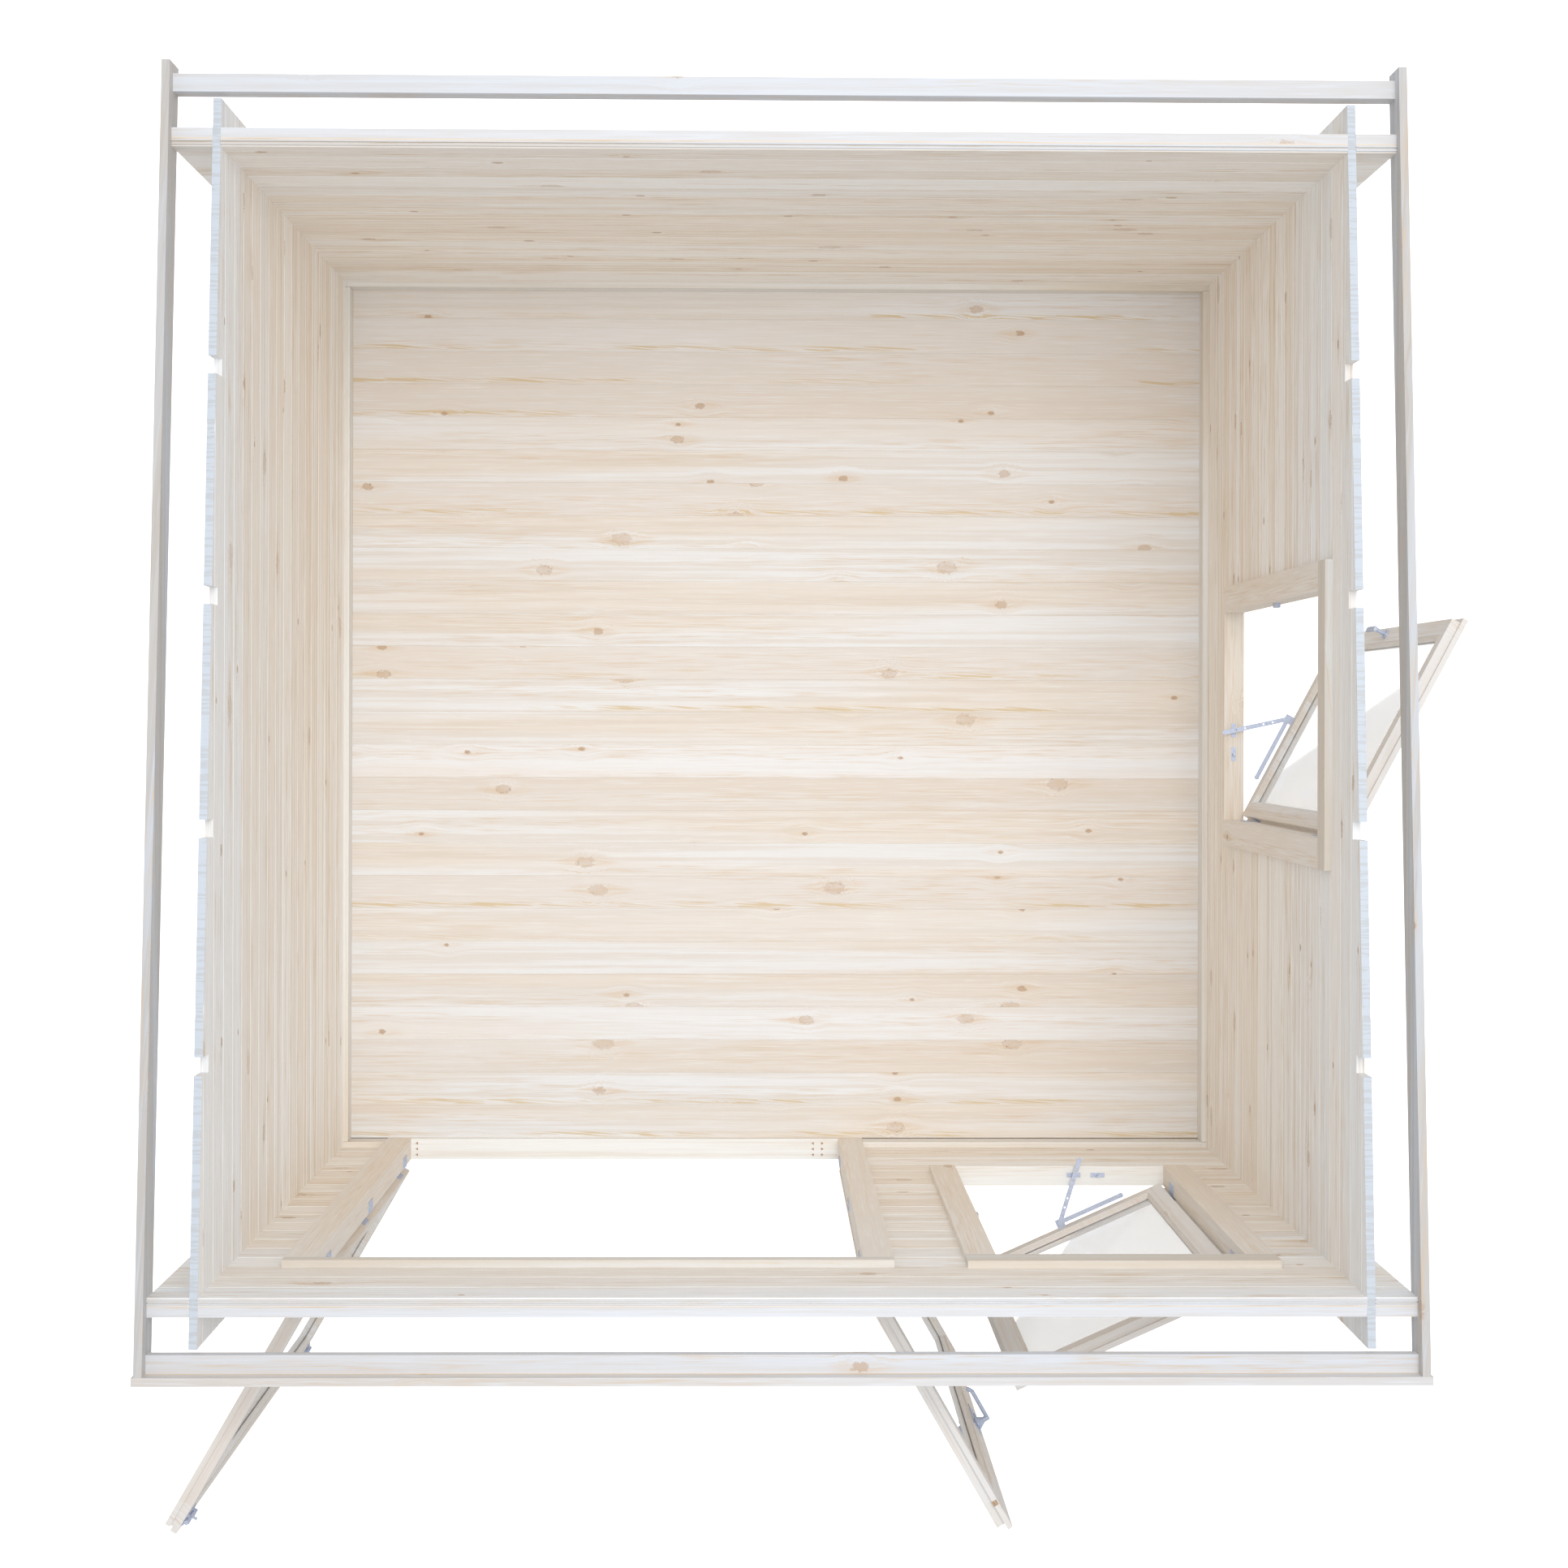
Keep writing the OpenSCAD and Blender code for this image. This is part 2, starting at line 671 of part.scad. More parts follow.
// Casement stay, its two pins on the sill, the hinges and the catch
module window_fittings(angle, sill_z, open_z) {
    top = sill_z + sill_t;
    pin_x = 45;
    pin_y = 9;
    bar_w = 14;
    bar_t = 3;
    bar_z = top + 22;
    arm_z = bar_z - bar_t;
    e = elbow(angle);
    to_pin = [pin_x, pin_y] - e;
    tip = e + to_pin * (stay_len / norm(to_pin));
    z = sash_z(sill_z, open_z);
    // Sill pins on their plates
    for (x = [pin_x, pin_x + 76])
        translate([x, pin_y, top]) {
            translate([-22, -7, 0]) cube([44, 14, 2]);
            cylinder(r = 4, h = 20);
        }
    // Stay arm that hangs over the first pin
    difference() {
        flat_bar(e, tip, bar_z, bar_w, bar_t);
        for (k = [1, 2, 4, 5])
            translate([e[0], e[1], bar_z - 1] + concat(to_pin / norm(to_pin) * (20 + 30 * k), [0]))
                cylinder(r = 3, h = bar_t + 2);
    }
    sash(angle) {
        // Bracket of the stay on the sash and its second arm
        box([elbow_s - 13, -elbow_off - 9, bar_z - 8], [elbow_s + 13, 0, arm_z + 1]);
        flat_bar([elbow_s, -elbow_off], [elbow_s - 210, -elbow_off], arm_z - 1, bar_w - 1, bar_t + 1);
        for (h = [z[0] + 150, z[1] - 150]) hinge_socket(h);
        // Handle on the free stile, hanging down
        translate([window_w - leaf_gap - sash_w / 2, 0, (z[0] + z[1]) / 2]) rotate([90, 0, 0]) {
            cylinder(r = 14, h = 6);
            cylinder(r = 6, h = 40);
            translate([-7, -85, 34]) cube([14, 94, 8]);
        }
    }
    translate([window_w / 2, window_frame_out - leaf_sink, 0]) mirror([1, 0, 0])
        for (h = [z[0] + 150, z[1] - 150]) hinge_pintle(h);
    // Keeper on the other jamb
    box([-window_w / 2, 0, (z[0] + z[1]) / 2 - 15], [-window_w / 2 + 14, 16, (z[0] + z[1]) / 2 + 15]);
}

module front_window_jambs() { color(spruce_light) front_window_place() window_jambs(front_sill_z, front_open_z); }
module front_window_head_and_sill() {
    color(spruce_light) front_window_place() window_head_and_sill(front_sill_z, front_open_z);
}
module front_window_stiles() {
    color(spruce_light) front_window_place() sash(front_window_angle)
        sash_stiles(sash_z(front_sill_z, front_open_z));
}
module front_window_rails() {
    color(spruce_light) front_window_place() sash(front_window_angle)
        sash_rails(sash_z(front_sill_z, front_open_z));
}
module front_window_glass() {
    z = sash_z(front_sill_z, front_open_z);
    color(pane) front_window_place() sash(front_window_angle)
        glass_pane(sash_glass_s, [z[0] + sash_w, z[1] - sash_w]);
}
module front_window_fittings() {
    color(zinc) front_window_place() window_fittings(front_window_angle, front_sill_z, front_open_z);
}

module side_window_jambs() { color(spruce_light) side_window_place() window_jambs(side_sill_z, side_open_z); }
module side_window_head_and_sill() {
    color(spruce_light) side_window_place() window_head_and_sill(side_sill_z, side_open_z);
}
module side_window_stiles() {
    color(spruce_light) side_window_place() sash(side_window_angle)
        sash_stiles(sash_z(side_sill_z, side_open_z));
}
module side_window_rails() {
    color(spruce_light) side_window_place() sash(side_window_angle)
        sash_rails(sash_z(side_sill_z, side_open_z));
}
module side_window_glass() {
    z = sash_z(side_sill_z, side_open_z);
    color(pane) side_window_place() sash(side_window_angle)
        glass_pane(sash_glass_s, [z[0] + sash_w, z[1] - sash_w]);
}
module side_window_fittings() {
    color(zinc) side_window_place() window_fittings(side_window_angle, side_sill_z, side_open_z);
}

bearers();
floor_boards();
skirting();
back_wall();
left_wall();
right_wall_back();
right_wall_front();
right_wall_under_window();
right_wall_over_window();
front_wall_left();
front_wall_pier();
front_wall_right();
front_wall_under_window();
front_wall_top();
eaves_plates();
side_fascias();
front_fascia();
eaves_beams();
door_jambs();
door_head();
door_threshold();
side_casings();
top_casings();
front_window_jambs();
front_window_head_and_sill();
front_window_stiles();
front_window_rails();
front_window_glass();
front_window_fittings();
side_window_jambs();
side_window_head_and_sill();
side_window_stiles();
side_window_rails();
side_window_glass();
side_window_fittings();
door_hinge_pintles();
left_door_stiles();
left_door_rails();
left_door_glass();
left_door_fittings();
right_door_stiles();
right_door_rails();
right_door_glass();
right_door_fittings();
right_door_lever();
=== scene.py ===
"""A garden log cabin, open to the sky, finished in planed spruce, clear glass and zinc."""

import math

import bpy
from mathutils import Matrix, Vector


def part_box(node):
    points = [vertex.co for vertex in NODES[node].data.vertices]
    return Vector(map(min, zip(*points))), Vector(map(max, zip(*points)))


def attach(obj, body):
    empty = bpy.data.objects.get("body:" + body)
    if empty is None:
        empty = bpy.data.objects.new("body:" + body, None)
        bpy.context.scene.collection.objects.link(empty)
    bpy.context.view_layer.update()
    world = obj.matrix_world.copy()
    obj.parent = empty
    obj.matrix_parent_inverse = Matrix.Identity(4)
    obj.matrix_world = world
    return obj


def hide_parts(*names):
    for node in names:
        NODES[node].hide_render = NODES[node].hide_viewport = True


bl_info = {
    "name": "Log Cabin",
    "version": (1, 0, 0),
    "blender": (4, 5, 0),
    "location": "View3D > Sidebar > Cabin",
    "description": "Finishes a garden log cabin with boards, beads, ironmongery and timber surfaces",
    "category": "Object",
}

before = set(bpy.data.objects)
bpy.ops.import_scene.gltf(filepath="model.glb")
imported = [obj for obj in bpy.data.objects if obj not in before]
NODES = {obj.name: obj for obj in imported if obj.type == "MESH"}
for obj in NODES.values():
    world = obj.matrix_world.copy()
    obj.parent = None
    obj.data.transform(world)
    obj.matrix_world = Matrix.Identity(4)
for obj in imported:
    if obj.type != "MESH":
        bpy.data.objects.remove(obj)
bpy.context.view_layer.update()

# Cabin sizes that the leaves, logs and fittings share, in metres
LOG_T = 0.021
COURSE_H = 0.114
JAMB_T = 0.042
LEAF_T = 0.038
LEAF_SINK = 0.0185
GLASS_T = 0.004
HINGE_OFF = 0.015
HINGE_W = 0.0255
HINGE_HEIGHTS = (0.231, 0.961, 1.691)
PLATE_T = 0.003
DOOR_LEAF_LOW, DOOR_LEAF_HIGH = 0.086, 1.892
LEVER_S, LEVER_Z = 0.6705, 1.111
BOLT_S = 0.6815

# How far each leaf and sash stands open, in degrees
DOOR_OPEN, FRONT_SASH_OPEN, SIDE_SASH_OPEN = 120, 24, 28

# ---------------------------------------------------------------- settings


def tone(name, description, default):
    return bpy.props.FloatVectorProperty(
        name=name, description=description, subtype="COLOR", size=3, min=0, max=1, default=default
    )


def length(name, description, default):
    return bpy.props.FloatProperty(
        name=name, description=description, subtype="DISTANCE", unit="LENGTH", min=0, default=default
    )


class CabinTimber(bpy.types.PropertyGroup):
    log_tone: tone("Log tone", "Colour of the wall logs", (0.94, 0.895, 0.83))
    # The high log tone is painted cool sky light on the logs near the roof line
    log_skylit_tone: tone("High log tone", "Colour of the logs near the roof line", (0.87, 0.895, 0.92))
    board_tone: tone("Board tone", "Colour of the fascias, plates and beams", (0.73, 0.73, 0.74))
    floor_tone: tone("Floor tone", "Colour of the floor planks", (0.81, 0.78, 0.75))
    trim_tone: tone("Trim tone", "Colour of the casings and frames", (0.89, 0.85, 0.79))
    joinery_tone: tone("Joinery tone", "Colour of the door leaves and sashes", (0.83, 0.795, 0.755))
    knot_tone: tone("Knot tone", "Colour of the knots", (0.46, 0.31, 0.20))
    grain_tone: tone("Grain tone", "Colour of the dark growth lines", (0.70, 0.51, 0.32))


class CabinParts(bpy.types.PropertyGroup):
    plank_cover: length("Plank cover", "Width that one floor plank covers", 0.110)
    plank_chamfer: length("Plank chamfer", "Size of the eased plank edges", 0.0012)
    tongue_height: length("Tongue height", "Height of the tongues on the top logs", 0.007)
    tongue_width: length("Tongue width", "Width of a tongue on the top logs", 0.0045)
    bead: length("Glazing bead", "Width of the beads round the glass", 0.010)
    screw: length("Screw head", "Radius of a screw head", 0.004)
    zinc_tone: tone("Zinc tone", "Colour of the plated metal", (0.52, 0.57, 0.70))


# ---------------------------------------------------------------- materials


class Value:
    """A number that runs through a material, with Python's own arithmetic."""

    def __init__(self, finish, socket):
        self.finish, self.socket = finish, socket

    def _math(self, operation, a, b=None):
        values = {0: a} if b is None else {0: a, 1: b}
        return self.finish.add("ShaderNodeMath", {"operation": operation}, values)

    def __add__(self, other):
        return self._math("ADD", self, other)

    __radd__ = __add__

    def __mul__(self, other):
        return self._math("MULTIPLY", self, other)

    __rmul__ = __mul__

    def __sub__(self, other):
        return self._math("SUBTRACT", self, other)

    def __rsub__(self, other):
        return self._math("SUBTRACT", other, self)

    def __truediv__(self, other):
        return self._math("DIVIDE", self, other)

    def __rtruediv__(self, other):
        return self._math("DIVIDE", other, self)

    def __pow__(self, other):
        return self._math("POWER", self, other)

    def __rpow__(self, other):
        return self._math("POWER", other, self)

    def __gt__(self, other):
        return self._math("GREATER_THAN", self, other)

    def __lt__(self, other):
        return self._math("LESS_THAN", self, other)

    def floor(self):
        return self._math("FLOOR", self)

    def size(self):
        return self._math("ABSOLUTE", self)


class Finish:
    """A material, the nodes in it and its shader."""

    def __init__(self, name):
        self.material = bpy.data.materials.new(name)
        self.material.use_nodes = True
        self.tree = self.material.node_tree
        self.shader = self.tree.nodes["Principled BSDF"]

    def add(self, kind, settings=None, values=None, output=0):
        """Any node: its type, its settings, then the values or links of its sockets."""
        node = self.tree.nodes.new(kind)
        for key, value in (settings or {}).items():
            setattr(node, key, value)
        for key, value in (values or {}).items():
            self.put(node, key, value)
        return Value(self, node.outputs[output])

    def put(self, node, key, value):
        if isinstance(value, Value):
            self.tree.links.new(value.socket, node.inputs[key])
        else:
            node.inputs[key].default_value = value

    def surface(self, key, value):
        """Sets or links one socket of the shader."""
        self.put(self.shader, key, value)

    def outputs(self, value):
        """All outputs of the node that a value comes from, by name or number."""
        node = value.socket.node
        named = {socket.name: Value(self, socket) for socket in node.outputs}
        return {**named, **{i: Value(self, socket) for i, socket in enumerate(node.outputs)}}

    def place(self, turn=0.0):
        """Object coordinates, turned about Z so that X follows a turned leaf."""
        spot = self.add("ShaderNodeTexCoord", output="Object")
        if turn:
            spot = self.add("ShaderNodeMapping", {"vector_type": "POINT"}, {0: spot, 2: (0, 0, -turn)})
        parts = self.outputs(self.add("ShaderNodeSeparateXYZ", values={0: spot}))
        return parts[0], parts[1], parts[2]

    def point(self, x, y, z=0.0):
        return self.add("ShaderNodeCombineXYZ", values={0: x, 1: y, 2: z})

    def noise(self, x, y, z=None, detail=2.0, rough=0.5):
        """Soft noise over a face, or through the solid when z is given."""
        flat = z is None
        return self.add(
            "ShaderNodeTexNoise",
            {"noise_dimensions": "2D" if flat else "3D"},
            {
                "Vector": self.point(x, y) if flat else self.point(x, y, z),
                "Scale": 1.0,
                "Detail": detail,
                "Roughness": rough,
            },
        )

    def chance(self, value):
        """A fixed random draw from 0 to 1 for each whole number."""
        return self.add("ShaderNodeTexWhiteNoise", {"noise_dimensions": "1D"}, {"W": value})

    def ramp(self, value, low, high, a=0.0, b=1.0):
        """Eases from a at low to b at high."""
        return self.add(
            "ShaderNodeMapRange",
            {"interpolation_type": "SMOOTHSTEP"},
            {0: value, 1: low, 2: high, 3: a, 4: b},
        )

    def blend(self, factor, a, b):
        """Mixes two colours, each a link or three numbers."""
        a, b = (colour if isinstance(colour, Value) else (*colour, 1.0) for colour in (a, b))
        return self.add("ShaderNodeMix", {"data_type": "RGBA"}, {0: factor, 6: a, 7: b}, output=2)


def shaded(colour, factor):
    return tuple(min(1.0, c * factor) for c in colour)


def tinted(colour, tint):
    return tuple(min(1.0, c * t) for c, t in zip(colour, tint, strict=True))


# Knots: the cell that holds one, along and across the grain, and the common radius
KNOT_CELL_LENGTH, KNOT_CELL_WIDTH, KNOT_RADIUS = 0.46, 0.115, 0.0125

# Tints over a board's own colour: spruce tones, and at the log seams a painted shadow and a painted glint
WARM, COOL = (0.99, 0.945, 0.89), (1.02, 1.05, 1.085)
BAND = (0.87, 0.79, 0.70)
PALE_BOARD, RIPE_BOARD = (1.07, 1.10, 1.15), (0.92, 0.85, 0.78)
PALE_LINE = (1.09, 1.13, 1.18)
SEAM_SHADOW, SEAM_GLINT = (0.66, 0.58, 0.50), (1.10, 1.14, 1.20)
SAWN, SAWN_LINE = (0.72, 0.755, 0.80), (0.88, 0.84, 0.80)

# Tints over the grain's colour, and the glow of light in a gap
GRAIN_LINE, GRAIN_FLAME = (1.0, 1.04, 1.12), (0.97, 1.02, 0.92)
GAP_GLOW = (0.88, 0.66, 0.42)


def knots(finish, along, across, share, seed):
    """Knots in scattered cells: how far away, the same drawn out along the grain, how far across,
    the radius, whether there is one, and how dark it is."""
    cell = finish.outputs(
        finish.add(
            "ShaderNodeTexVoronoi",
            {"voronoi_dimensions": "2D", "feature": "F1"},
            {
                "Vector": finish.point(along / KNOT_CELL_LENGTH + seed, across / KNOT_CELL_WIDTH + seed),
                "Scale": 1.0,
                "Randomness": 0.85,
            },
        )
    )
    spot = finish.outputs(finish.add("ShaderNodeSeparateXYZ", values={0: cell["Position"]}))
    draw = finish.outputs(finish.add("ShaderNodeSeparateColor", values={0: cell["Color"]}))
    off_along = (spot[0] - seed) * KNOT_CELL_LENGTH - along
    off_across = (spot[1] - seed) * KNOT_CELL_WIDTH - across
    away = ((off_along * 0.60) ** 2.0 + off_across * off_across) ** 0.5
    tail = ((off_along * 0.17) ** 2.0 + off_across * off_across) ** 0.5
    size = KNOT_RADIUS * (0.40 + draw[1] ** 2.0 * 1.3)
    return away, tail, off_across, size, draw[0] < share, draw[2]


def grain_axes(finish, grain, turn, swap):
    """Object coordinates, and the ways along and across the grain; past swap, X and Y change places."""
    x, y, z = finish.place(turn)
    if swap is not None:
        over = x.size() > swap
        x, y = x + (y - x) * over, y + (x - y) * over
    across = {"X": y + z, "Y": x + z, "Z": x + y}[grain]
    spot = {"X": x, "Y": y, "Z": z}
    return spot, spot[grain], across


def board_of(spot, across, layer):
    """The number of the board at a point and how far over it the point lies."""
    if layer is None:
        return (across * 0.0).floor(), None
    axis, first, pitch = layer
    boards = (spot[axis] - first) / pitch
    row = boards.floor()
    return row, boards - row


def growth(finish, along, bent, share, draws, flame):
    """Growth lines: fine ones, soft bands, broad patches, where the lines crowd, and short flames."""
    fine = finish.noise(along * 5.0, bent * 180.0, detail=2.0, rough=0.65)
    band = finish.noise(along * 0.6, bent * 48.0, detail=1.0, rough=0.6)
    broad = finish.noise(along * 0.35, bent * 9.0, detail=0.0)
    crowd = finish.ramp(finish.noise(along * 0.50 + 5.0, bent * 16.0, detail=0.0), 0.52, 0.66)
    if share is None:
        edge = finish.ramp((broad - 0.55).size(), 0.0, 0.03, 1.0, 0.0)
    else:
        edge = finish.ramp((share - 0.12).size(), 0.04, 0.11, 1.0, 0.0)
    stroke = finish.noise(along * 15.0 + bent * 210.0, bent * 95.0, detail=0.0)
    _, second, third = draws
    flames = finish.ramp(stroke, 0.54, 0.575) * edge * finish.ramp(third, 0.55, 0.65) * flame
    flames = flames * finish.ramp(finish.noise(along * 1.1, second * 6.0, detail=0.0), 0.38, 0.52)
    return fine, band, broad, crowd, flames


def timber(
    name, colour, grain="X", turn=0.0, layer=None, swap=None, high=None, flame=0.5, knotty=0.22, seed=1.0,
    vivid=0.6, seams=False, glow=None, cap=None,
):
    """Planed spruce: growth lines along the grain, soft bands, knots, and a fresh draw for each board.

    layer is the boards' axis, start and pitch; high is the colour that takes over towards the roof, painted cool
    sky light;
    glow is light in a gap, as its axis, reach and fade; cap is a sawn top, as its slope and height.
    """
    look = bpy.context.scene.cabin_timber
    grain_tone = look.grain_tone[:]
    finish = Finish(name)
    ramp, blend = finish.ramp, finish.blend
    spot, along, across = grain_axes(finish, grain, turn, swap)
    row, share = board_of(spot, across, layer)
    draw = finish.chance(row + seed)
    second = finish.chance(row * 1.7 + seed + 40.0)
    third = finish.chance(row * 2.3 + seed + 80.0)
    along = along + draw * 13.0 + seed
    across = across + second * 7.0

    blotch = finish.noise(along * 70.0, across * 110.0, detail=1.0) - 0.5
    away, tail, off, size, real, dark = knots(finish, along, across, knotty, seed)
    away = away + blotch * size * 1.6
    near = ramp(away, 0.0, 0.060, 1.0, 0.0) * real
    bent = across + off * near * 0.80 + blotch * near * 0.005
    fine, band, broad, crowd, flames = growth(finish, along, bent, share, (draw, second, third), flame)

    body = blend(ramp(broad, 0.38, 0.62), tinted(colour, WARM), tinted(colour, COOL))
    body = blend(ramp(band, 0.40, 0.68) * vivid * 0.60, body, tinted(colour, BAND))
    # Towards the roof the colour turns to the high tone: painted cool sky light on the upper parts
    if high:
        body = blend(ramp(spot["Z"], 0.9, 2.15) * 0.8, body, high)
    body = blend(ramp(draw, 0.45, 0.85) * 0.55, body, tinted(colour, PALE_BOARD))
    body = blend(ramp(second, 0.45, 0.85) * 0.60, body, tinted(colour, RIPE_BOARD))
    lines = ramp(fine, 0.48, 0.74) * (0.14 + crowd * 0.50) * vivid
    body = blend(lines, body, tinted(grain_tone, GRAIN_LINE))
    body = blend(ramp(fine, 0.46, 0.28) * 0.45 * vivid, body, tinted(colour, PALE_LINE))
    if layer and seams:
        # Painted shadow along the foot of each log and a painted glint along its top, at the seams
        body = blend(ramp(share, 0.0, 0.030, 1.0, 0.0) * 0.40, body, tinted(colour, SEAM_SHADOW))
        body = blend(ramp(share, 0.955, 0.965) * 0.45, body, tinted(colour, SEAM_GLINT))
    body = blend(flames * 0.85, body, tinted(grain_tone, GRAIN_FLAME))

    wake = ramp(tail - size * 0.7, -0.001, 0.010, 1.0, 0.0) * real * ramp(fine, 0.36, 0.60, 0.2, 1.0)
    heart = ramp(away - size, -0.0026, 0.0006, 1.0, 0.0) * real
    rim = ramp((away - size).size(), 0.0, 0.0020, 1.0, 0.0) * real * ramp(blotch, -0.10, 0.08)
    body = blend(wake * 0.38, body, grain_tone)
    body = blend(heart * ramp(size, 0.005, 0.017, 0.92, 0.30), body, shaded(look.knot_tone, 1.15))
    body = blend(rim * ramp(dark, 0.0, 1.0, 0.55, 0.90), body, shaded(look.knot_tone, 0.85))
    if glow:
        axis, reach, fade = glow
        level = {"Y": spot["Y"].size(), "Z": spot["Z"]}[axis]
        body = blend(ramp(level - reach, 0.0, fade, 0.85, 0.0), body, GAP_GLOW)
    if cap:
        slope, height = cap
        sawn = tinted(high, SAWN)
        strokes = ramp(finish.noise(spot["Y"] * 150.0, spot["X"] * 14.0, detail=1.0), 0.45, 0.62)
        top = ramp(spot["Z"] + spot["Y"] * slope - height, -0.0020, -0.0008)
        body = blend(top, body, blend(strokes * 0.7, sawn, tinted(sawn, SAWN_LINE)))

    finish.surface("Base Color", body)
    finish.surface("Roughness", 0.56 + fine * 0.16)
    relief = {"Strength": 0.18, "Distance": 0.0004, "Height": fine}
    finish.surface("Normal", finish.add("ShaderNodeBump", values=relief))
    finish.surface("Specular IOR Level", 0.3)
    return finish.material


def plated(name, colour):
    """Zinc plate: a fine spangle, brushed along Z."""
    finish = Finish(name)
    x, y, z = finish.place()
    spangle = finish.noise(x * 260.0, y * 260.0, z * 260.0)
    brush = finish.noise(x * 900.0, y * 900.0, z * 60.0)
    body = finish.blend(finish.ramp(spangle, 0.35, 0.65), shaded(colour, 0.90), shaded(colour, 1.08))
    finish.surface("Base Color", body)
    finish.surface("Roughness", 0.36 + brush * 0.18)
    finish.surface("Metallic", 0.30)
    return finish.material


def clear(name, colour, cover, reflection_plane=None):
    """Float glass with a faint sheen; past a sloping plane it holds less cover, a painted reflection zone."""
    finish = Finish(name)
    x, y, z = finish.place()
    drift = finish.noise(x * 2.2, y * 2.2, z * 1.3, detail=1.0)
    body = finish.blend(finish.ramp(drift, 0.42, 0.58), shaded(colour, 0.99), shaded(colour, 1.01))
    hold = finish.ramp(drift, 0.40, 0.60, cover * 0.97, cover * 1.03)
    # Past the plane the glass holds less cover and shows lighter: a painted reflection zone
    if reflection_plane:
        (across_x, across_y, across_z, offset), share = reflection_plane
        past = x * across_x + y * across_y + z * across_z - offset
        hold = hold * finish.ramp(past, -0.002, 0.002, 1.0, share)
    finish.surface("Base Color", body)
    finish.surface("Alpha", hold)
    finish.surface("Roughness", 0.08 + drift * 0.02)
    finish.surface("Specular IOR Level", 0.25)
    return finish.material


def cover_nodes(material, *names):
    for name in names:
        NODES[name].data.materials.clear()
        NODES[name].data.materials.append(material)


# ---------------------------------------------------------------- modelling


def start():
    if bpy.context.object and bpy.context.object.mode != "OBJECT":
        bpy.ops.object.mode_set(mode="OBJECT")
    bpy.ops.object.select_all(action="DESELECT")


def settle(name):
    """Names the piece just modelled and applies its place."""
    piece = bpy.context.object
    piece.name = piece.data.name = name
    bpy.ops.object.transform_apply(location=True, rotation=True, scale=True)
    return piece


def pick_faces(piece, test):
    """Selects, in edit mode, the faces that pass a test."""
    bpy.ops.object.mode_set(mode="EDIT")
    bpy.ops.mesh.select_mode(type="FACE")
    bpy.ops.mesh.select_all(action="DESELECT")
    bpy.ops.object.mode_set(mode="OBJECT")
    for face in piece.data.polygons:
        face.select = test(face)
    bpy.ops.object.mode_set(mode="EDIT")


def faces_up(face):
    return face.normal.z > 0.9


def is_end(face):
    return abs(face.normal.z) > 0.9


def extrude_along_z(distance):
    bpy.ops.mesh.extrude_region_move(TRANSFORM_OT_translate={"value": (0, 0, distance)})


def facing(way):
    """Turns +Z to point a way."""
    return Vector(way).to_track_quat("Z", "Y").to_matrix().to_4x4()


def bar(name, low, high, ease=0.001):
    """A squared length between two corners with eased edges."""
    start()
    low, high = Vector(low), Vector(high)
    bpy.ops.mesh.primitive_cube_add(size=1, location=(low + high) / 2)
    bpy.context.object.scale = high - low
    piece = settle(name)
    bpy.ops.object.mode_set(mode="EDIT")
    bpy.ops.mesh.select_all(action="SELECT")
    bpy.ops.mesh.bevel(offset=ease, segments=1, affect="EDGES")
    bpy.ops.object.mode_set(mode="OBJECT")
    return piece


def rod(name, a, b, radius, ease):
    """A round rod between two points with rounded ends."""
    start()
    a, b = Vector(a), Vector(b)
    bpy.ops.mesh.primitive_cylinder_add(vertices=32, radius=radius, depth=(b - a).length)
    piece = settle(name)
    pick_faces(piece, is_end)
    bpy.ops.mesh.bevel(offset=ease, segments=3, affect="EDGES")
    bpy.ops.object.mode_set(mode="OBJECT")
    piece.data.transform(Matrix.Translation((a + b) / 2) @ facing(b - a))
    return piece


def twin(piece, matrix):
    """A copy of a piece with its own mesh, moved by a matrix."""
    copy = piece.copy()
    copy.data = piece.data.copy()
    bpy.context.scene.collection.objects.link(copy)
    copy.data.transform(matrix)
    return copy


def joined(name, pieces):
    start()
    for piece in pieces:
        piece.select_set(True)
    bpy.context.view_layer.objects.active = pieces[0]
    if len(pieces) > 1:
        bpy.ops.object.join()
    piece = bpy.context.object
    piece.name = piece.data.name = name
    bpy.ops.object.mode_set(mode="EDIT")
    bpy.ops.mesh.select_all(action="SELECT")
    bpy.ops.mesh.normals_make_consistent(inside=False)
    bpy.ops.object.mode_set(mode="OBJECT")
    return piece


def finished(piece, material, body, slot, *stands_for):
    piece.data.materials.clear()
    piece.data.materials.append(material)
    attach(piece, body)
    if stands_for:
        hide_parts(*stands_for)


# ---------------------------------------------------------------- leaf places


def leaf_place(reveal_x, inner_y, angle, flip, side=False):
    """Takes leaf coordinates (from the hinge reveal, outward, up) to the cabin's."""
    swing = (
        Matrix.Translation((-HINGE_OFF, HINGE_W, 0))
        @ Matrix.Rotation(math.radians(angle), 4, "Z")
        @ Matrix.Translation((HINGE_OFF, -HINGE_W, 0))
    )
    hand = Matrix.Diagonal((-1 if flip else 1, 1, 1, 1))
    wall = Matrix.Rotation(math.radians(-90), 4, "Z") if side else Matrix.Diagonal((1, -1, 1, 1))
    out = Matrix.Translation((inner_y, 0, 0)) if side else Matrix.Translation((0, -inner_y, 0))
    return out @ wall @ Matrix.Translation((reveal_x, 0, 0)) @ hand @ swing


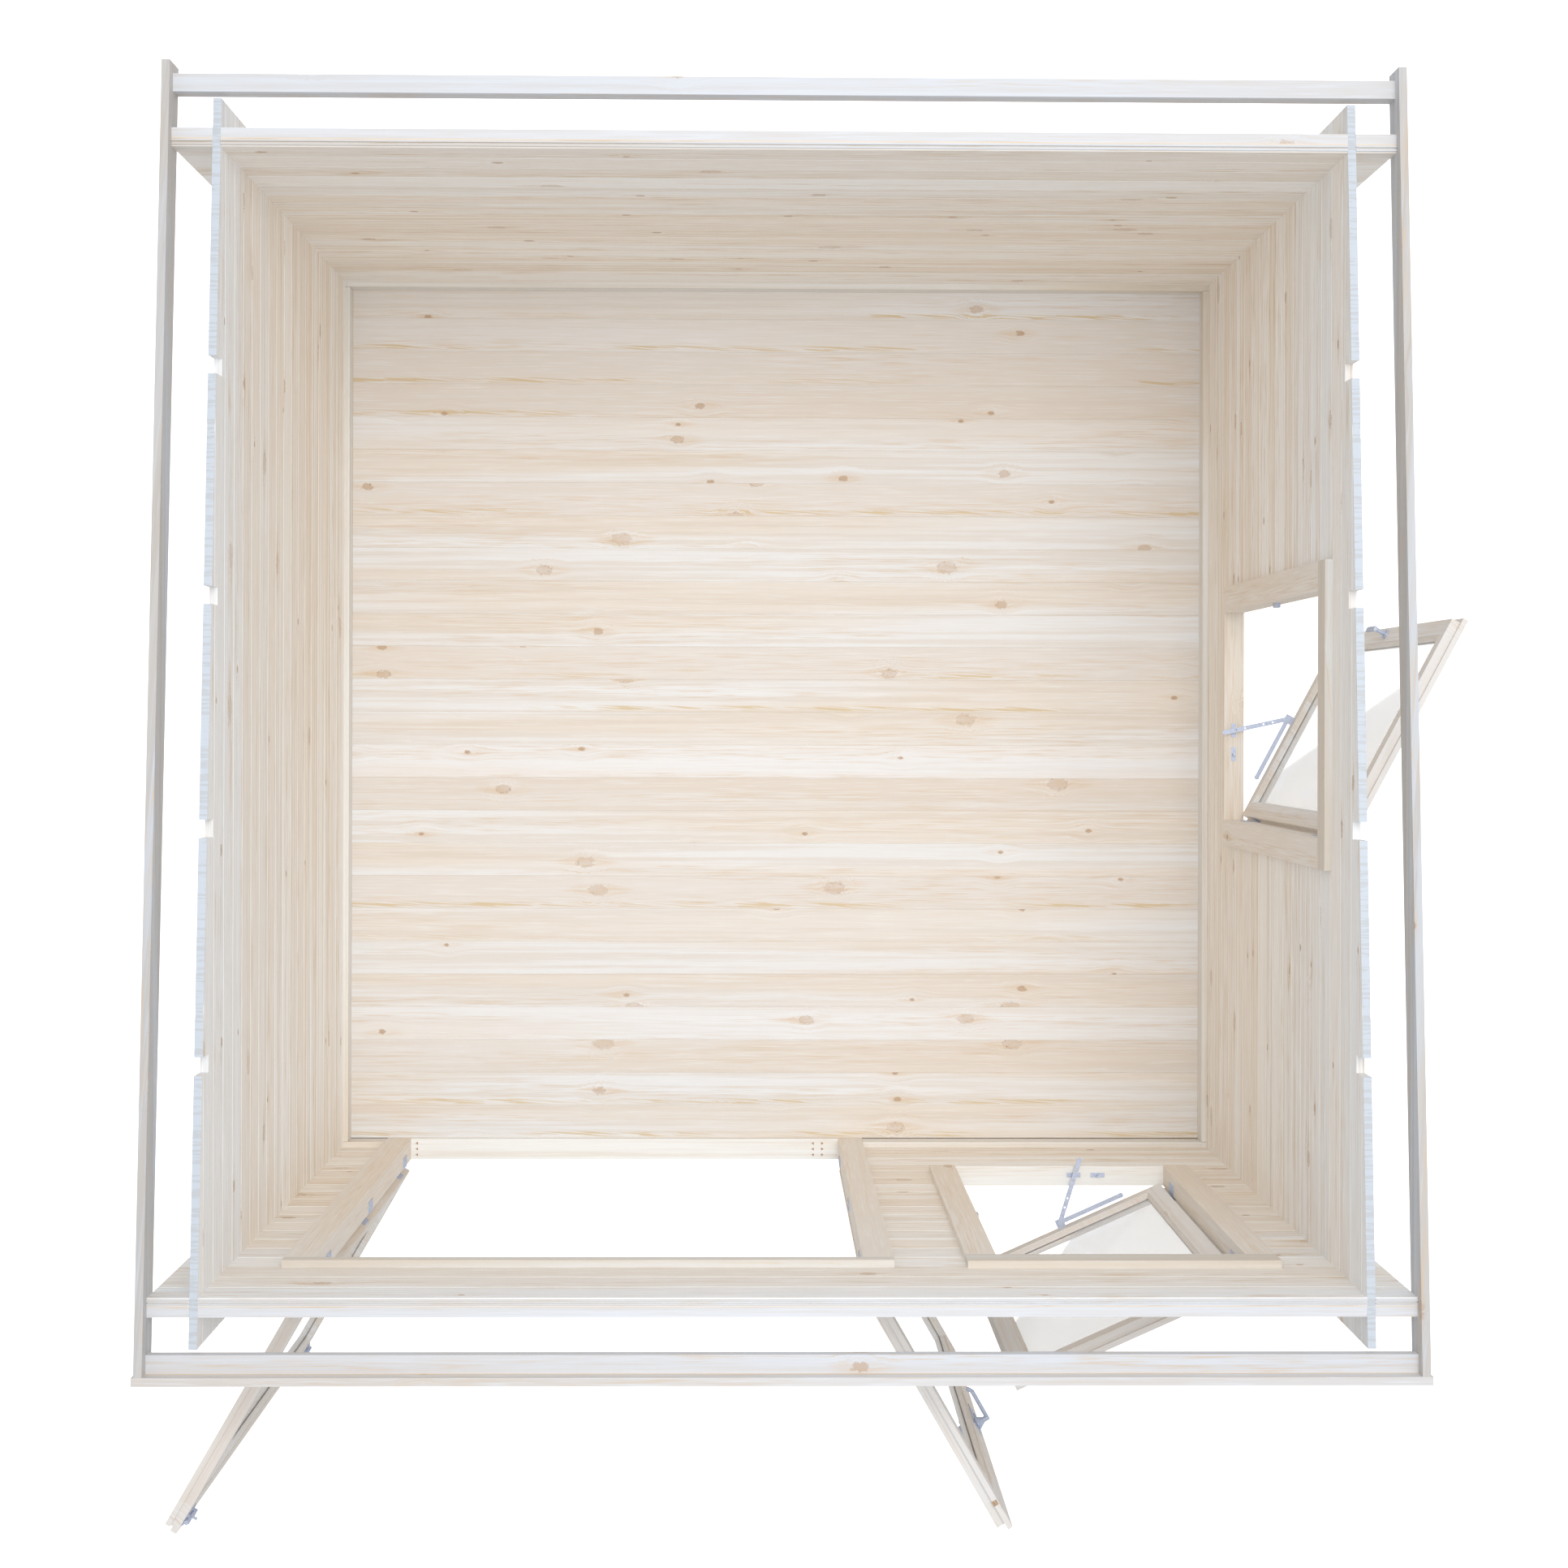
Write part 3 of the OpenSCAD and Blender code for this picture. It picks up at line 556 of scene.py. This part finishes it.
DOOR_LOW, DOOR_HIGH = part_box("door_jambs")
WINDOW_LOW, WINDOW_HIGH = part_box("front_window_jambs")
SIDE_WINDOW_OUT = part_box("side_window_jambs")[1].x
WINDOW_W = WINDOW_HIGH.x - WINDOW_LOW.x - 2 * JAMB_T
DOOR_INNER = -DOOR_LOW.y - LEAF_SINK
LEFT_REVEAL = DOOR_LOW.x + JAMB_T
RIGHT_REVEAL = DOOR_HIGH.x - JAMB_T
LEFT_JAMB = leaf_place(LEFT_REVEAL, DOOR_INNER, 0, False)
RIGHT_JAMB = leaf_place(RIGHT_REVEAL, DOOR_INNER, 0, True)
LEFT_LEAF = leaf_place(LEFT_REVEAL, DOOR_INNER, DOOR_OPEN, False)
RIGHT_LEAF = leaf_place(RIGHT_REVEAL, DOOR_INNER, DOOR_OPEN, True)
FRONT_SASH = leaf_place(WINDOW_HIGH.x - JAMB_T, -WINDOW_LOW.y - LEAF_SINK, FRONT_SASH_OPEN, True)
SIDE_SASH = leaf_place(WINDOW_W / 2, SIDE_WINDOW_OUT - LEAF_SINK, SIDE_SASH_OPEN, True, side=True)


def turn_of(place):
    """Which way the leaf's width points, seen from above."""
    way = place.to_3x3() @ Vector((1, 0, 0))
    return math.atan2(way.y, way.x)


# ---------------------------------------------------------------- timber and panes

# Height of the lowest seam between logs; crossed walls lie half a course apart
SIDE_SEAM, CROSS_SEAM = 0.045, 0.102

# The side walls' sawn tops: the fall of the roof, and their height at the middle of the room
ROOF_FALL, SIDE_TOP = 0.0781, 2.1539

# Where X and Y change places in the mitred skirting and casings
SKIRTING_CORNER, CASING_CORNER = 1.4215, 1.405


def paint_logs():
    """Each wall material has a grain, a lowest seam, a seed and its nodes."""
    look = bpy.context.scene.cabin_timber
    walls = {
        "log_x": ("X", CROSS_SEAM, 2.0, ["back_wall"]),
        "log_front": (
            "X", CROSS_SEAM, 4.0,
            ["front_wall_left", "front_wall_pier", "front_wall_right", "front_wall_under_window", "front_wall_top"],
        ),
        "log_left": ("Y", SIDE_SEAM, 6.0, ["left_wall"]),
        "log_right": (
            "Y", SIDE_SEAM, 9.0,
            ["right_wall_back", "right_wall_front", "right_wall_under_window", "right_wall_over_window"],
        ),
    }
    for name, (grain, seam, seed, nodes) in walls.items():
        # The high tone paints cool sky light on the upper courses of logs
        finish = timber(
            name, look.log_tone[:], grain, layer=("Z", seam, COURSE_H), high=look.log_skylit_tone[:],
            flame=0.35, knotty=0.30, seed=seed, vivid=1.35, seams=True,
            cap=(ROOF_FALL, SIDE_TOP) if grain == "Y" else None,
        )
        cover_nodes(finish, *nodes)


def paint_roof_edge():
    """Each board material has a grain, a shade, a seed, its node and, on some, light in a gap; the shade paints
    light and shade on copies of one board tone.
    """
    board = bpy.context.scene.cabin_timber.board_tone
    edge = {
        # Side fascias and beams are painted darker and the front fascia lighter: painted shade and light on one
        # board tone
        "shaded_fascia_wood_side": ("Y", 0.82, 12.0, "side_fascias", None),
        "fascia_wood_front": ("X", 1.03, 14.0, "front_fascia", ("Z", 2.2771, 0.012)),
        "beam_wood": ("X", 0.95, 15.0, "eaves_beams", None),
        "plate_wood": ("X", 1.0, 17.0, "eaves_plates", ("Y", 1.461, 0.0030)),
    }
    for name, (grain, shade, seed, node, glow) in edge.items():
        finish = timber(
            name, shaded(board, shade), grain, flame=0.3, seed=seed, glow=glow, knotty=0.24, vivid=1.0
        )
        cover_nodes(finish, node)


def paint_frames():
    """Each frame material has a grain, a colour, a colour towards the roof that is painted cool sky light, a seed
    and its nodes.
    """
    look = bpy.context.scene.cabin_timber
    joinery, trim, high = look.joinery_tone[:], look.trim_tone[:], look.log_skylit_tone[:]
    soft = tinted(joinery, (0.98, 0.99, 1.01))
    frames = {
        "bearer_wood": ("Y", joinery, soft, 3.0, ["bearers"]),
        "upright_wood": (
            "Z", trim, high, 18.0,
            ["door_jambs", "side_casings", "front_window_jambs", "side_window_jambs"],
        ),
        "rail_wood": ("X", trim, soft, 21.0, ["door_head", "door_threshold", "front_window_head_and_sill"]),
        "side_rail_wood": ("Y", trim, high, 22.0, ["side_window_head_and_sill"]),
        "stile_wood": (
            "Z", joinery, soft, 24.0,
            ["left_door_stiles", "right_door_stiles", "front_window_stiles", "side_window_stiles"],
        ),
    }
    for name, (grain, colour, top, seed, nodes) in frames.items():
        finish = timber(name, colour, grain, high=top, flame=0.3, seed=seed, knotty=0.12, vivid=0.7)
        cover_nodes(finish, *nodes)
    skirting = timber("skirting_wood", shaded(trim, 0.92), swap=SKIRTING_CORNER, knotty=0.08, seed=26.0)
    # The top casings' trim tone is darkened to 0.80 as painted shade, against the light their top faces catch
    shaded_casing = timber("shaded_casing_wood", shaded(trim, 0.80), swap=CASING_CORNER, knotty=0.12, seed=27.0)
    cover_nodes(skirting, "skirting")
    cover_nodes(shaded_casing, "top_casings")
    rails = {
        "left_door_rails": LEFT_LEAF,
        "right_door_rails": RIGHT_LEAF,
        "front_window_rails": FRONT_SASH,
        "side_window_rails": SIDE_SASH,
    }
    for number, (node, place) in enumerate(rails.items()):
        finish = timber(
            node + "_wood", joinery, "X", turn_of(place), high=soft, flame=0.3, knotty=0.14, seed=30.0 + number
        )
        cover_nodes(finish, node)


def paint_zinc():
    zinc = plated("zinc_plate", bpy.context.scene.cabin_parts.zinc_tone[:])
    cover_nodes(
        zinc, "front_window_fittings", "side_window_fittings", "door_hinge_pintles",
        "left_door_fittings", "right_door_fittings",
    )


def zinc_plate():
    return bpy.data.materials["zinc_plate"]


def paint_glass():
    """Each sash has a plane, as its normal and offset, past which only a share of the cover is left, as a painted
    reflection zone on the glass.
    """
    sash_glass, door_glass = (0.86, 0.87, 0.88), (0.88, 0.90, 0.91)
    front_reflection_plane = ((-0.839, -0.378, -0.391, -0.4251), 0.10)
    side_reflection_plane = ((0.451, 0.840, -0.302, 0.3619), 0.60)
    cover_nodes(clear("front_window_glass", sash_glass, 0.46, front_reflection_plane), "front_window_glass")
    cover_nodes(clear("side_window_glass", sash_glass, 0.50, side_reflection_plane), "side_window_glass")
    cover_nodes(clear("door_glass", door_glass, 0.14), "left_door_glass", "right_door_glass")


# ---------------------------------------------------------------- pieces


def lay_planks():
    look, sizes = bpy.context.scene.cabin_timber, bpy.context.scene.cabin_parts
    low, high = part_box("floor_boards")
    count = round((high.y - low.y) / sizes.plank_cover)
    cover = (high.y - low.y) / count
    plank = bar("plank", low, (high.x, low.y + cover, high.z), sizes.plank_chamfer)
    planks = [plank] + [twin(plank, Matrix.Translation((0, cover * i, 0))) for i in range(1, count)]
    finish = timber(
        "plank_wood", look.floor_tone[:], layer=("Y", low.y, cover), flame=0.9, knotty=0.42, seed=51.0, vivid=0.75
    )
    finished(joined("floor_planks", planks), finish, "cabin", "floor", "floor_boards")


def raise_tongues():
    """Two tongues along each top log, left out where the side walls cross."""
    look, sizes = bpy.context.scene.cabin_timber, bpy.context.scene.cabin_parts
    sunk, half = 0.001, sizes.tongue_width / 2
    inner_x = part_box("left_wall")[1].x
    ridges = []
    for wall in ("back_wall", "front_wall_top"):
        low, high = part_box(wall)
        spans = ((low.x, inner_x - LOG_T), (inner_x, -inner_x), (LOG_T - inner_x, high.x))
        for x0, x1 in spans:
            for share in (0.28, 0.72):
                mid = low.y + (high.y - low.y) * share
                bottom, top = high.z - sunk, high.z + sizes.tongue_height
                ridges.append(bar("tongue", (x0, mid - half, bottom), (x1, mid + half, top)))
    finish = timber("tongue_wood", look.board_tone[:], knotty=0.05, seed=55.0)
    finished(joined("wall_tongues", ridges), finish, "cabin", "logs")


def bead_frame(low, high, w, rise, place):
    """Four mitred beads round a pane: a flat ring that slopes down to the glass, given thickness."""
    height, slope = abs(rise), abs(rise) * 0.68
    start()
    bpy.ops.mesh.primitive_plane_add(size=1, location=(0, 0, height))
    bpy.context.object.scale = (high.x - low.x, high.z - low.z, 1)
    piece = settle("bead")
    bpy.ops.object.mode_set(mode="EDIT")
    bpy.ops.mesh.select_mode(type="FACE")
    bpy.ops.mesh.select_all(action="SELECT")
    bpy.ops.mesh.inset(thickness=bpy.context.scene.cabin_parts.bead, depth=-slope)
    bpy.ops.mesh.delete(type="FACE")
    bpy.ops.mesh.select_all(action="SELECT")
    extrude_along_z(slope / 2 - height)
    bpy.ops.transform.resize(value=(1, 1, 0))
    bpy.ops.mesh.select_all(action="SELECT")
    bpy.ops.mesh.normals_make_consistent(inside=False)
    bpy.ops.mesh.bevel(offset=0.0012, segments=2, affect="EDGES")
    bpy.ops.object.mode_set(mode="OBJECT")
    flip = Matrix.Rotation(math.pi, 4, "X") if rise < 0 else Matrix.Identity(4)
    mid = (low + high) / 2
    upright = Matrix(((1, 0, 0, mid.x), (0, 0, 1, w), (0, 1, 0, mid.z), (0, 0, 0, 1)))
    piece.data.transform(place @ upright @ flip)
    return piece


def fit_beads():
    look = bpy.context.scene.cabin_timber
    rise, pane_w = 0.0155, (LEAF_T - GLASS_T) / 2
    panes = {
        "left_door": (LEFT_LEAF, "left_leaf"),
        "right_door": (RIGHT_LEAF, "right_leaf"),
        "front_window": (FRONT_SASH, "cabin"),
        "side_window": (SIDE_SASH, "cabin"),
    }
    for number, (name, (place, body)) in enumerate(panes.items()):
        back = place.inverted()
        corners = [back @ v.co for v in NODES[name + "_glass"].data.vertices]
        low, high = (Vector([pick(c[i] for c in corners) for i in range(3)]) for pick in (min, max))
        inner = bead_frame(low, high, pane_w, -rise, place)
        outer = bead_frame(low, high, pane_w + GLASS_T, rise, place)
        finish = timber(name + "_bead_wood", look.joinery_tone[:], "Z", knotty=0.02, seed=60.0 + number)
        finished(joined(name + "_beads", [inner, outer]), finish, body, "joinery")


def mark_finger_joints(dark):
    """The end grain of finger joints in the threshold."""
    low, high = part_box("door_threshold")
    marks = []
    for row in (0.22, 0.50, 0.78):
        y = low.y + (high.y - low.y) * row
        for x, side in ((low.x + 0.020, 1), (high.x - 0.085, 1), (high.x - 0.055, -1)):
            start()
            bpy.ops.mesh.primitive_cylinder_add(
                vertices=3, radius=0.006, depth=0.0006, location=(x, y, high.z),
                rotation=(0, 0, side * math.pi / 2),
            )
            mark = settle("finger_joint")
            pick_faces(mark, faces_up)
            bpy.ops.mesh.bevel(offset=0.0002, segments=1, affect="EDGES")
            bpy.ops.object.mode_set(mode="OBJECT")
            marks.append(mark)
    finished(joined("threshold_finger_joints", marks), dark, "cabin", "trim")


def mark_peg(dark):
    """The end of the peg in the right leaf's top corner."""
    half, depth = 0.007, 0.0005
    peg = bar("peg", (-half, -half, -depth), (half, half, depth), 0.0002)
    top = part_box("right_door_stiles")[1].z
    peg.data.transform(RIGHT_LEAF @ Matrix.Translation((0.642, 0.029, top)))
    finished(joined("right_door_peg", [peg]), dark, "right_leaf", "joinery")


def screw_head():
    """A raised countersunk head with a driver recess, facing up at the origin."""
    radius = bpy.context.scene.cabin_parts.screw
    start()
    bpy.ops.mesh.primitive_cylinder_add(vertices=16, radius=radius, depth=0.0016, location=(0, 0, 0.0004))
    piece = settle("screw")
    pick_faces(piece, faces_up)
    bpy.ops.mesh.inset(thickness=radius * 0.22)
    bpy.ops.transform.translate(value=(0, 0, 0.0003))
    bpy.ops.mesh.inset(thickness=radius * 0.40)
    extrude_along_z(-0.0009)
    bpy.ops.object.mode_set(mode="OBJECT")
    return piece


def screws_at(name, spots, place, body):
    """Screws at (s, w, z) in leaf coordinates, each facing a way along s or w."""
    first = screw_head()
    heads = [twin(first, place @ Matrix.Translation((s, w, z)) @ facing(way)) for s, w, z, way in spots]
    bpy.data.objects.remove(first)
    finished(joined(name, heads), zinc_plate(), body, "zinc")


def fit_screws():
    """Screws of the jambs' hinge plates, the lock plates and the bolt plates."""
    jamb = [
        (PLATE_T / 2, w, z + up, (1, 0, 0))
        for z in HINGE_HEIGHTS
        for up in (-0.026, 0.026)
        for w in (-0.009, 0.006)
    ]
    screws_at("left_jamb_screws", jamb, LEFT_JAMB, "cabin")
    screws_at("right_jamb_screws", jamb, RIGHT_JAMB, "cabin")
    lock = [
        (LEVER_S, w, LEVER_Z + up, (0, side, 0))
        for w, side in ((-PLATE_T, -1), (LEAF_T + PLATE_T, 1))
        for up in (-0.138, 0.038)
    ]
    screws_at("lock_plate_screws", lock, RIGHT_LEAF, "right_leaf")
    bolt = [
        (BOLT_S + across, -PLATE_T, z + up, (0, -1, 0))
        for z in (DOOR_LEAF_HIGH - 0.060, DOOR_LEAF_LOW + 0.064)
        for across in (-0.0125, 0.0125)
        for up in (-0.040, 0.040)
    ]
    screws_at("bolt_screws", bolt, LEFT_LEAF, "left_leaf")


def fit_cylinders():
    """The lock cylinder's two ends, each with a rim and a key hole."""
    below_lever = 0.075
    ends = []
    for side, w in ((-1, -PLATE_T), (1, LEAF_T + PLATE_T)):
        start()
        bpy.ops.mesh.primitive_cylinder_add(vertices=32, radius=0.0085, depth=0.006, location=(0, 0, 0.002))
        piece = settle("lock_cylinder")
        pick_faces(piece, faces_up)
        bpy.ops.mesh.inset(thickness=0.0012)
        extrude_along_z(-0.0008)
        bpy.ops.mesh.inset(thickness=0.0045)
        extrude_along_z(-0.0015)
        bpy.ops.object.mode_set(mode="OBJECT")
        spot = Matrix.Translation((LEVER_S, w, LEVER_Z - below_lever))
        piece.data.transform(RIGHT_LEAF @ spot @ facing((0, side, 0)))
        ends.append(piece)
    finished(joined("lock_cylinders", ends), zinc_plate(), "right_leaf", "zinc")


def fit_levers():
    """A spindle through the leaf and, on each face, a rose, a conical neck and a grip with a bent tip."""
    reach, grip, grip_radius, clearance = 0.044, 0.105, 0.006, 0.0005
    pieces = [rod("spindle", (0, -reach, 0), (0, LEAF_T + reach, 0), 0.008, ease=0.003)]
    for side, base in ((-1, -PLATE_T - clearance), (1, LEAF_T + PLATE_T + clearance)):
        w = base + side * (reach - 0.009)
        pieces.append(rod("rose", (0, base, 0), (0, base + side * 0.007, 0), 0.0190, ease=0.0015))
        start()
        bpy.ops.mesh.primitive_cone_add(vertices=32, radius1=0.0175, radius2=0.0085, depth=0.016)
        neck = settle("neck")
        neck.data.transform(Matrix.Translation((0, base + side * 0.0145, 0)) @ facing((0, side, 0)))
        pieces.append(neck)
        pieces.append(rod("grip", (grip_radius, w, 0), (-grip + 0.012, w, 0), grip_radius, ease=0.004))
        tip_start, tip_end = (-grip + 0.016, w, 0), (-grip, w - side * 0.010, 0)
        pieces.append(rod("tip", tip_start, tip_end, grip_radius, ease=0.004))
    lever = joined("door_levers", pieces)
    lever.data.transform(RIGHT_LEAF @ Matrix.Translation((LEVER_S, 0, LEVER_Z)))
    bpy.ops.object.shade_smooth_by_angle(angle=math.radians(35))
    finished(lever, zinc_plate(), "lever", "zinc", "right_door_lever")


# ---------------------------------------------------------------- stage

VIEW_PLACE = (-0.0871, -0.0238, 8.311)
VIEW_LEAN, VIEW_ROLL = 0.0139, -0.0026
VIEW_SENSOR, VIEW_LENS, VIEW_SHIFT = 36, 56.354, (-0.0004, -0.0392)


def lay_ground():
    """Pale paper that glows evenly to the camera and lights nothing else."""
    start()
    bpy.ops.mesh.primitive_plane_add(size=60, location=(0, 0, 0))
    ground = settle("ground")
    paper = Finish("pale_paper")
    x, y, _ = paper.place()
    mottle = paper.noise(x * 0.8, y * 0.8)
    paper.surface("Base Color", paper.blend(mottle, (0.86, 0.86, 0.86), (0.90, 0.90, 0.90)))
    paper.surface("Roughness", 0.9)
    seen = paper.add("ShaderNodeLightPath", output="Is Camera Ray")
    paper.surface("Emission Color", paper.blend(seen, (0, 0, 0), (0.8, 0.8, 0.8)))
    paper.surface("Emission Strength", 1.0)
    ground.data.materials.append(paper.material)


def light_sky():
    world = bpy.data.worlds.new("studio")
    bpy.context.scene.world = world
    world.use_nodes = True
    sky = world.node_tree.nodes["Background"]
    sky.inputs["Color"].default_value = (0.93, 0.96, 1.0, 1)
    sky.inputs["Strength"].default_value = 0.72


def lamp(name, kind, place, target, energy, colour):
    """A lamp that points at a target; returns its settings."""
    data = bpy.data.lights.new(name, kind)
    data.energy, data.color = energy, colour
    holder = bpy.data.objects.new(name, data)
    bpy.context.scene.collection.objects.link(holder)
    holder.location = place
    holder.rotation_euler = (Vector(target) - Vector(place)).to_track_quat("-Z", "Y").to_euler()
    return data


def light_studio():
    softbox = lamp("softbox", "AREA", (1.2, 1.6, 11.0), (0, 0, 0), 430, (1.0, 0.99, 0.97))
    softbox.shape, softbox.size = "DISK", 6.0
    warm = lamp("warm_fill", "SPOT", (0.6, 0.9, 7.6), (-0.15, -0.55, 0.0), 330, (1.0, 0.97, 0.93))
    warm.spot_size, warm.spot_blend, warm.shadow_soft_size = math.radians(32), 1.0, 0.6


def aim_camera():
    data = bpy.data.cameras.new("view")
    camera = bpy.data.objects.new("view", data)
    bpy.context.scene.collection.objects.link(camera)
    to_view = Matrix.Rotation(VIEW_ROLL, 3, "Z") @ Matrix.Rotation(VIEW_LEAN, 3, "Y")
    camera.matrix_world = Matrix.Translation(VIEW_PLACE) @ to_view.transposed().to_4x4()
    data.sensor_width, data.lens = VIEW_SENSOR, VIEW_LENS
    data.shift_x, data.shift_y = VIEW_SHIFT
    data.clip_end = 200
    bpy.context.scene.camera = camera


# ---------------------------------------------------------------- operators


class CABIN_OT_stage(bpy.types.Operator):
    """Lay the ground and set the sky, the lamps and the camera"""

    bl_idname = "cabin.stage"
    bl_label = "Stage"
    bl_options = {"REGISTER", "UNDO"}

    def execute(self, context):
        lay_ground()
        context.scene.view_settings.view_transform = "Standard"
        light_sky()
        light_studio()
        aim_camera()
        return {"FINISHED"}


class CABIN_OT_timber(bpy.types.Operator):
    """Give the logs, boards, frames and leaves their grain and colour"""

    bl_idname = "cabin.timber"
    bl_label = "Timber"
    bl_options = {"REGISTER", "UNDO"}

    def execute(self, context):
        paint_logs()
        paint_roof_edge()
        paint_frames()
        return {"FINISHED"}


class CABIN_OT_zinc(bpy.types.Operator):
    """Plate the hinges, bolts, stays and the lock"""

    bl_idname = "cabin.zinc"
    bl_label = "Zinc"
    bl_options = {"REGISTER", "UNDO"}

    def execute(self, context):
        paint_zinc()
        return {"FINISHED"}


class CABIN_OT_glass(bpy.types.Operator):
    """Glaze the doors and the windows"""

    bl_idname = "cabin.glass"
    bl_label = "Glass"
    bl_options = {"REGISTER", "UNDO"}

    def execute(self, context):
        paint_glass()
        return {"FINISHED"}


class CABIN_OT_planks(bpy.types.Operator):
    """Lay the floor planks"""

    bl_idname = "cabin.planks"
    bl_label = "Floor planks"
    bl_options = {"REGISTER", "UNDO"}

    def execute(self, context):
        lay_planks()
        return {"FINISHED"}


class CABIN_OT_tongues(bpy.types.Operator):
    """Raise the tongues of the top logs"""

    bl_idname = "cabin.tongues"
    bl_label = "Tongues"
    bl_options = {"REGISTER", "UNDO"}

    def execute(self, context):
        raise_tongues()
        return {"FINISHED"}


class CABIN_OT_beads(bpy.types.Operator):
    """Fit the beads round the panes"""

    bl_idname = "cabin.beads"
    bl_label = "Beads"
    bl_options = {"REGISTER", "UNDO"}

    def execute(self, context):
        fit_beads()
        return {"FINISHED"}


class CABIN_OT_joint_marks(bpy.types.Operator):
    """Mark the threshold's finger joints and the peg of the right leaf"""

    bl_idname = "cabin.joint_marks"
    bl_label = "Joint marks"
    bl_options = {"REGISTER", "UNDO"}

    def execute(self, context):
        dark = timber("end_grain_wood", context.scene.cabin_timber.knot_tone[:], "Z", knotty=0.0, seed=71.0)
        mark_finger_joints(dark)
        mark_peg(dark)
        return {"FINISHED"}


class CABIN_OT_screws(bpy.types.Operator):
    """Drive the screws of the hinges, the lock and the bolts"""

    bl_idname = "cabin.screws"
    bl_label = "Screws"
    bl_options = {"REGISTER", "UNDO"}

    def execute(self, context):
        fit_screws()
        return {"FINISHED"}


class CABIN_OT_cylinders(bpy.types.Operator):
    """Fit the ends of the lock cylinder"""

    bl_idname = "cabin.cylinders"
    bl_label = "Lock cylinder"
    bl_options = {"REGISTER", "UNDO"}

    def execute(self, context):
        fit_cylinders()
        return {"FINISHED"}


class CABIN_OT_levers(bpy.types.Operator):
    """Fit the lever handles on both faces of the right leaf"""

    bl_idname = "cabin.levers"
    bl_label = "Levers"
    bl_options = {"REGISTER", "UNDO"}

    def execute(self, context):
        fit_levers()
        return {"FINISHED"}


OPERATORS = (
    CABIN_OT_stage,
    CABIN_OT_timber,
    CABIN_OT_zinc,
    CABIN_OT_glass,
    CABIN_OT_planks,
    CABIN_OT_tongues,
    CABIN_OT_beads,
    CABIN_OT_joint_marks,
    CABIN_OT_screws,
    CABIN_OT_cylinders,
    CABIN_OT_levers,
)


class CABIN_PT_panel(bpy.types.Panel):
    """Sizes, colours and steps of the cabin"""

    bl_label = "Cabin"
    bl_idname = "CABIN_PT_panel"
    bl_space_type = "VIEW_3D"
    bl_region_type = "UI"
    bl_category = "Cabin"

    def draw(self, context):
        for group in (context.scene.cabin_timber, context.scene.cabin_parts):
            for key in type(group).__annotations__:
                self.layout.prop(group, key)
        for operator in OPERATORS:
            self.layout.operator(operator.bl_idname)


CLASSES = (CabinTimber, CabinParts, *OPERATORS, CABIN_PT_panel)


def register():
    for each in CLASSES:
        bpy.utils.register_class(each)
    bpy.types.Scene.cabin_timber = bpy.props.PointerProperty(type=CabinTimber)
    bpy.types.Scene.cabin_parts = bpy.props.PointerProperty(type=CabinParts)


def unregister():
    del bpy.types.Scene.cabin_timber
    del bpy.types.Scene.cabin_parts
    for each in reversed(CLASSES):
        bpy.utils.unregister_class(each)


def main():
    register()
    for operator in OPERATORS:
        group, name = operator.bl_idname.split(".")
        getattr(getattr(bpy.ops, group), name)()


if __name__ == "__main__":
    main()
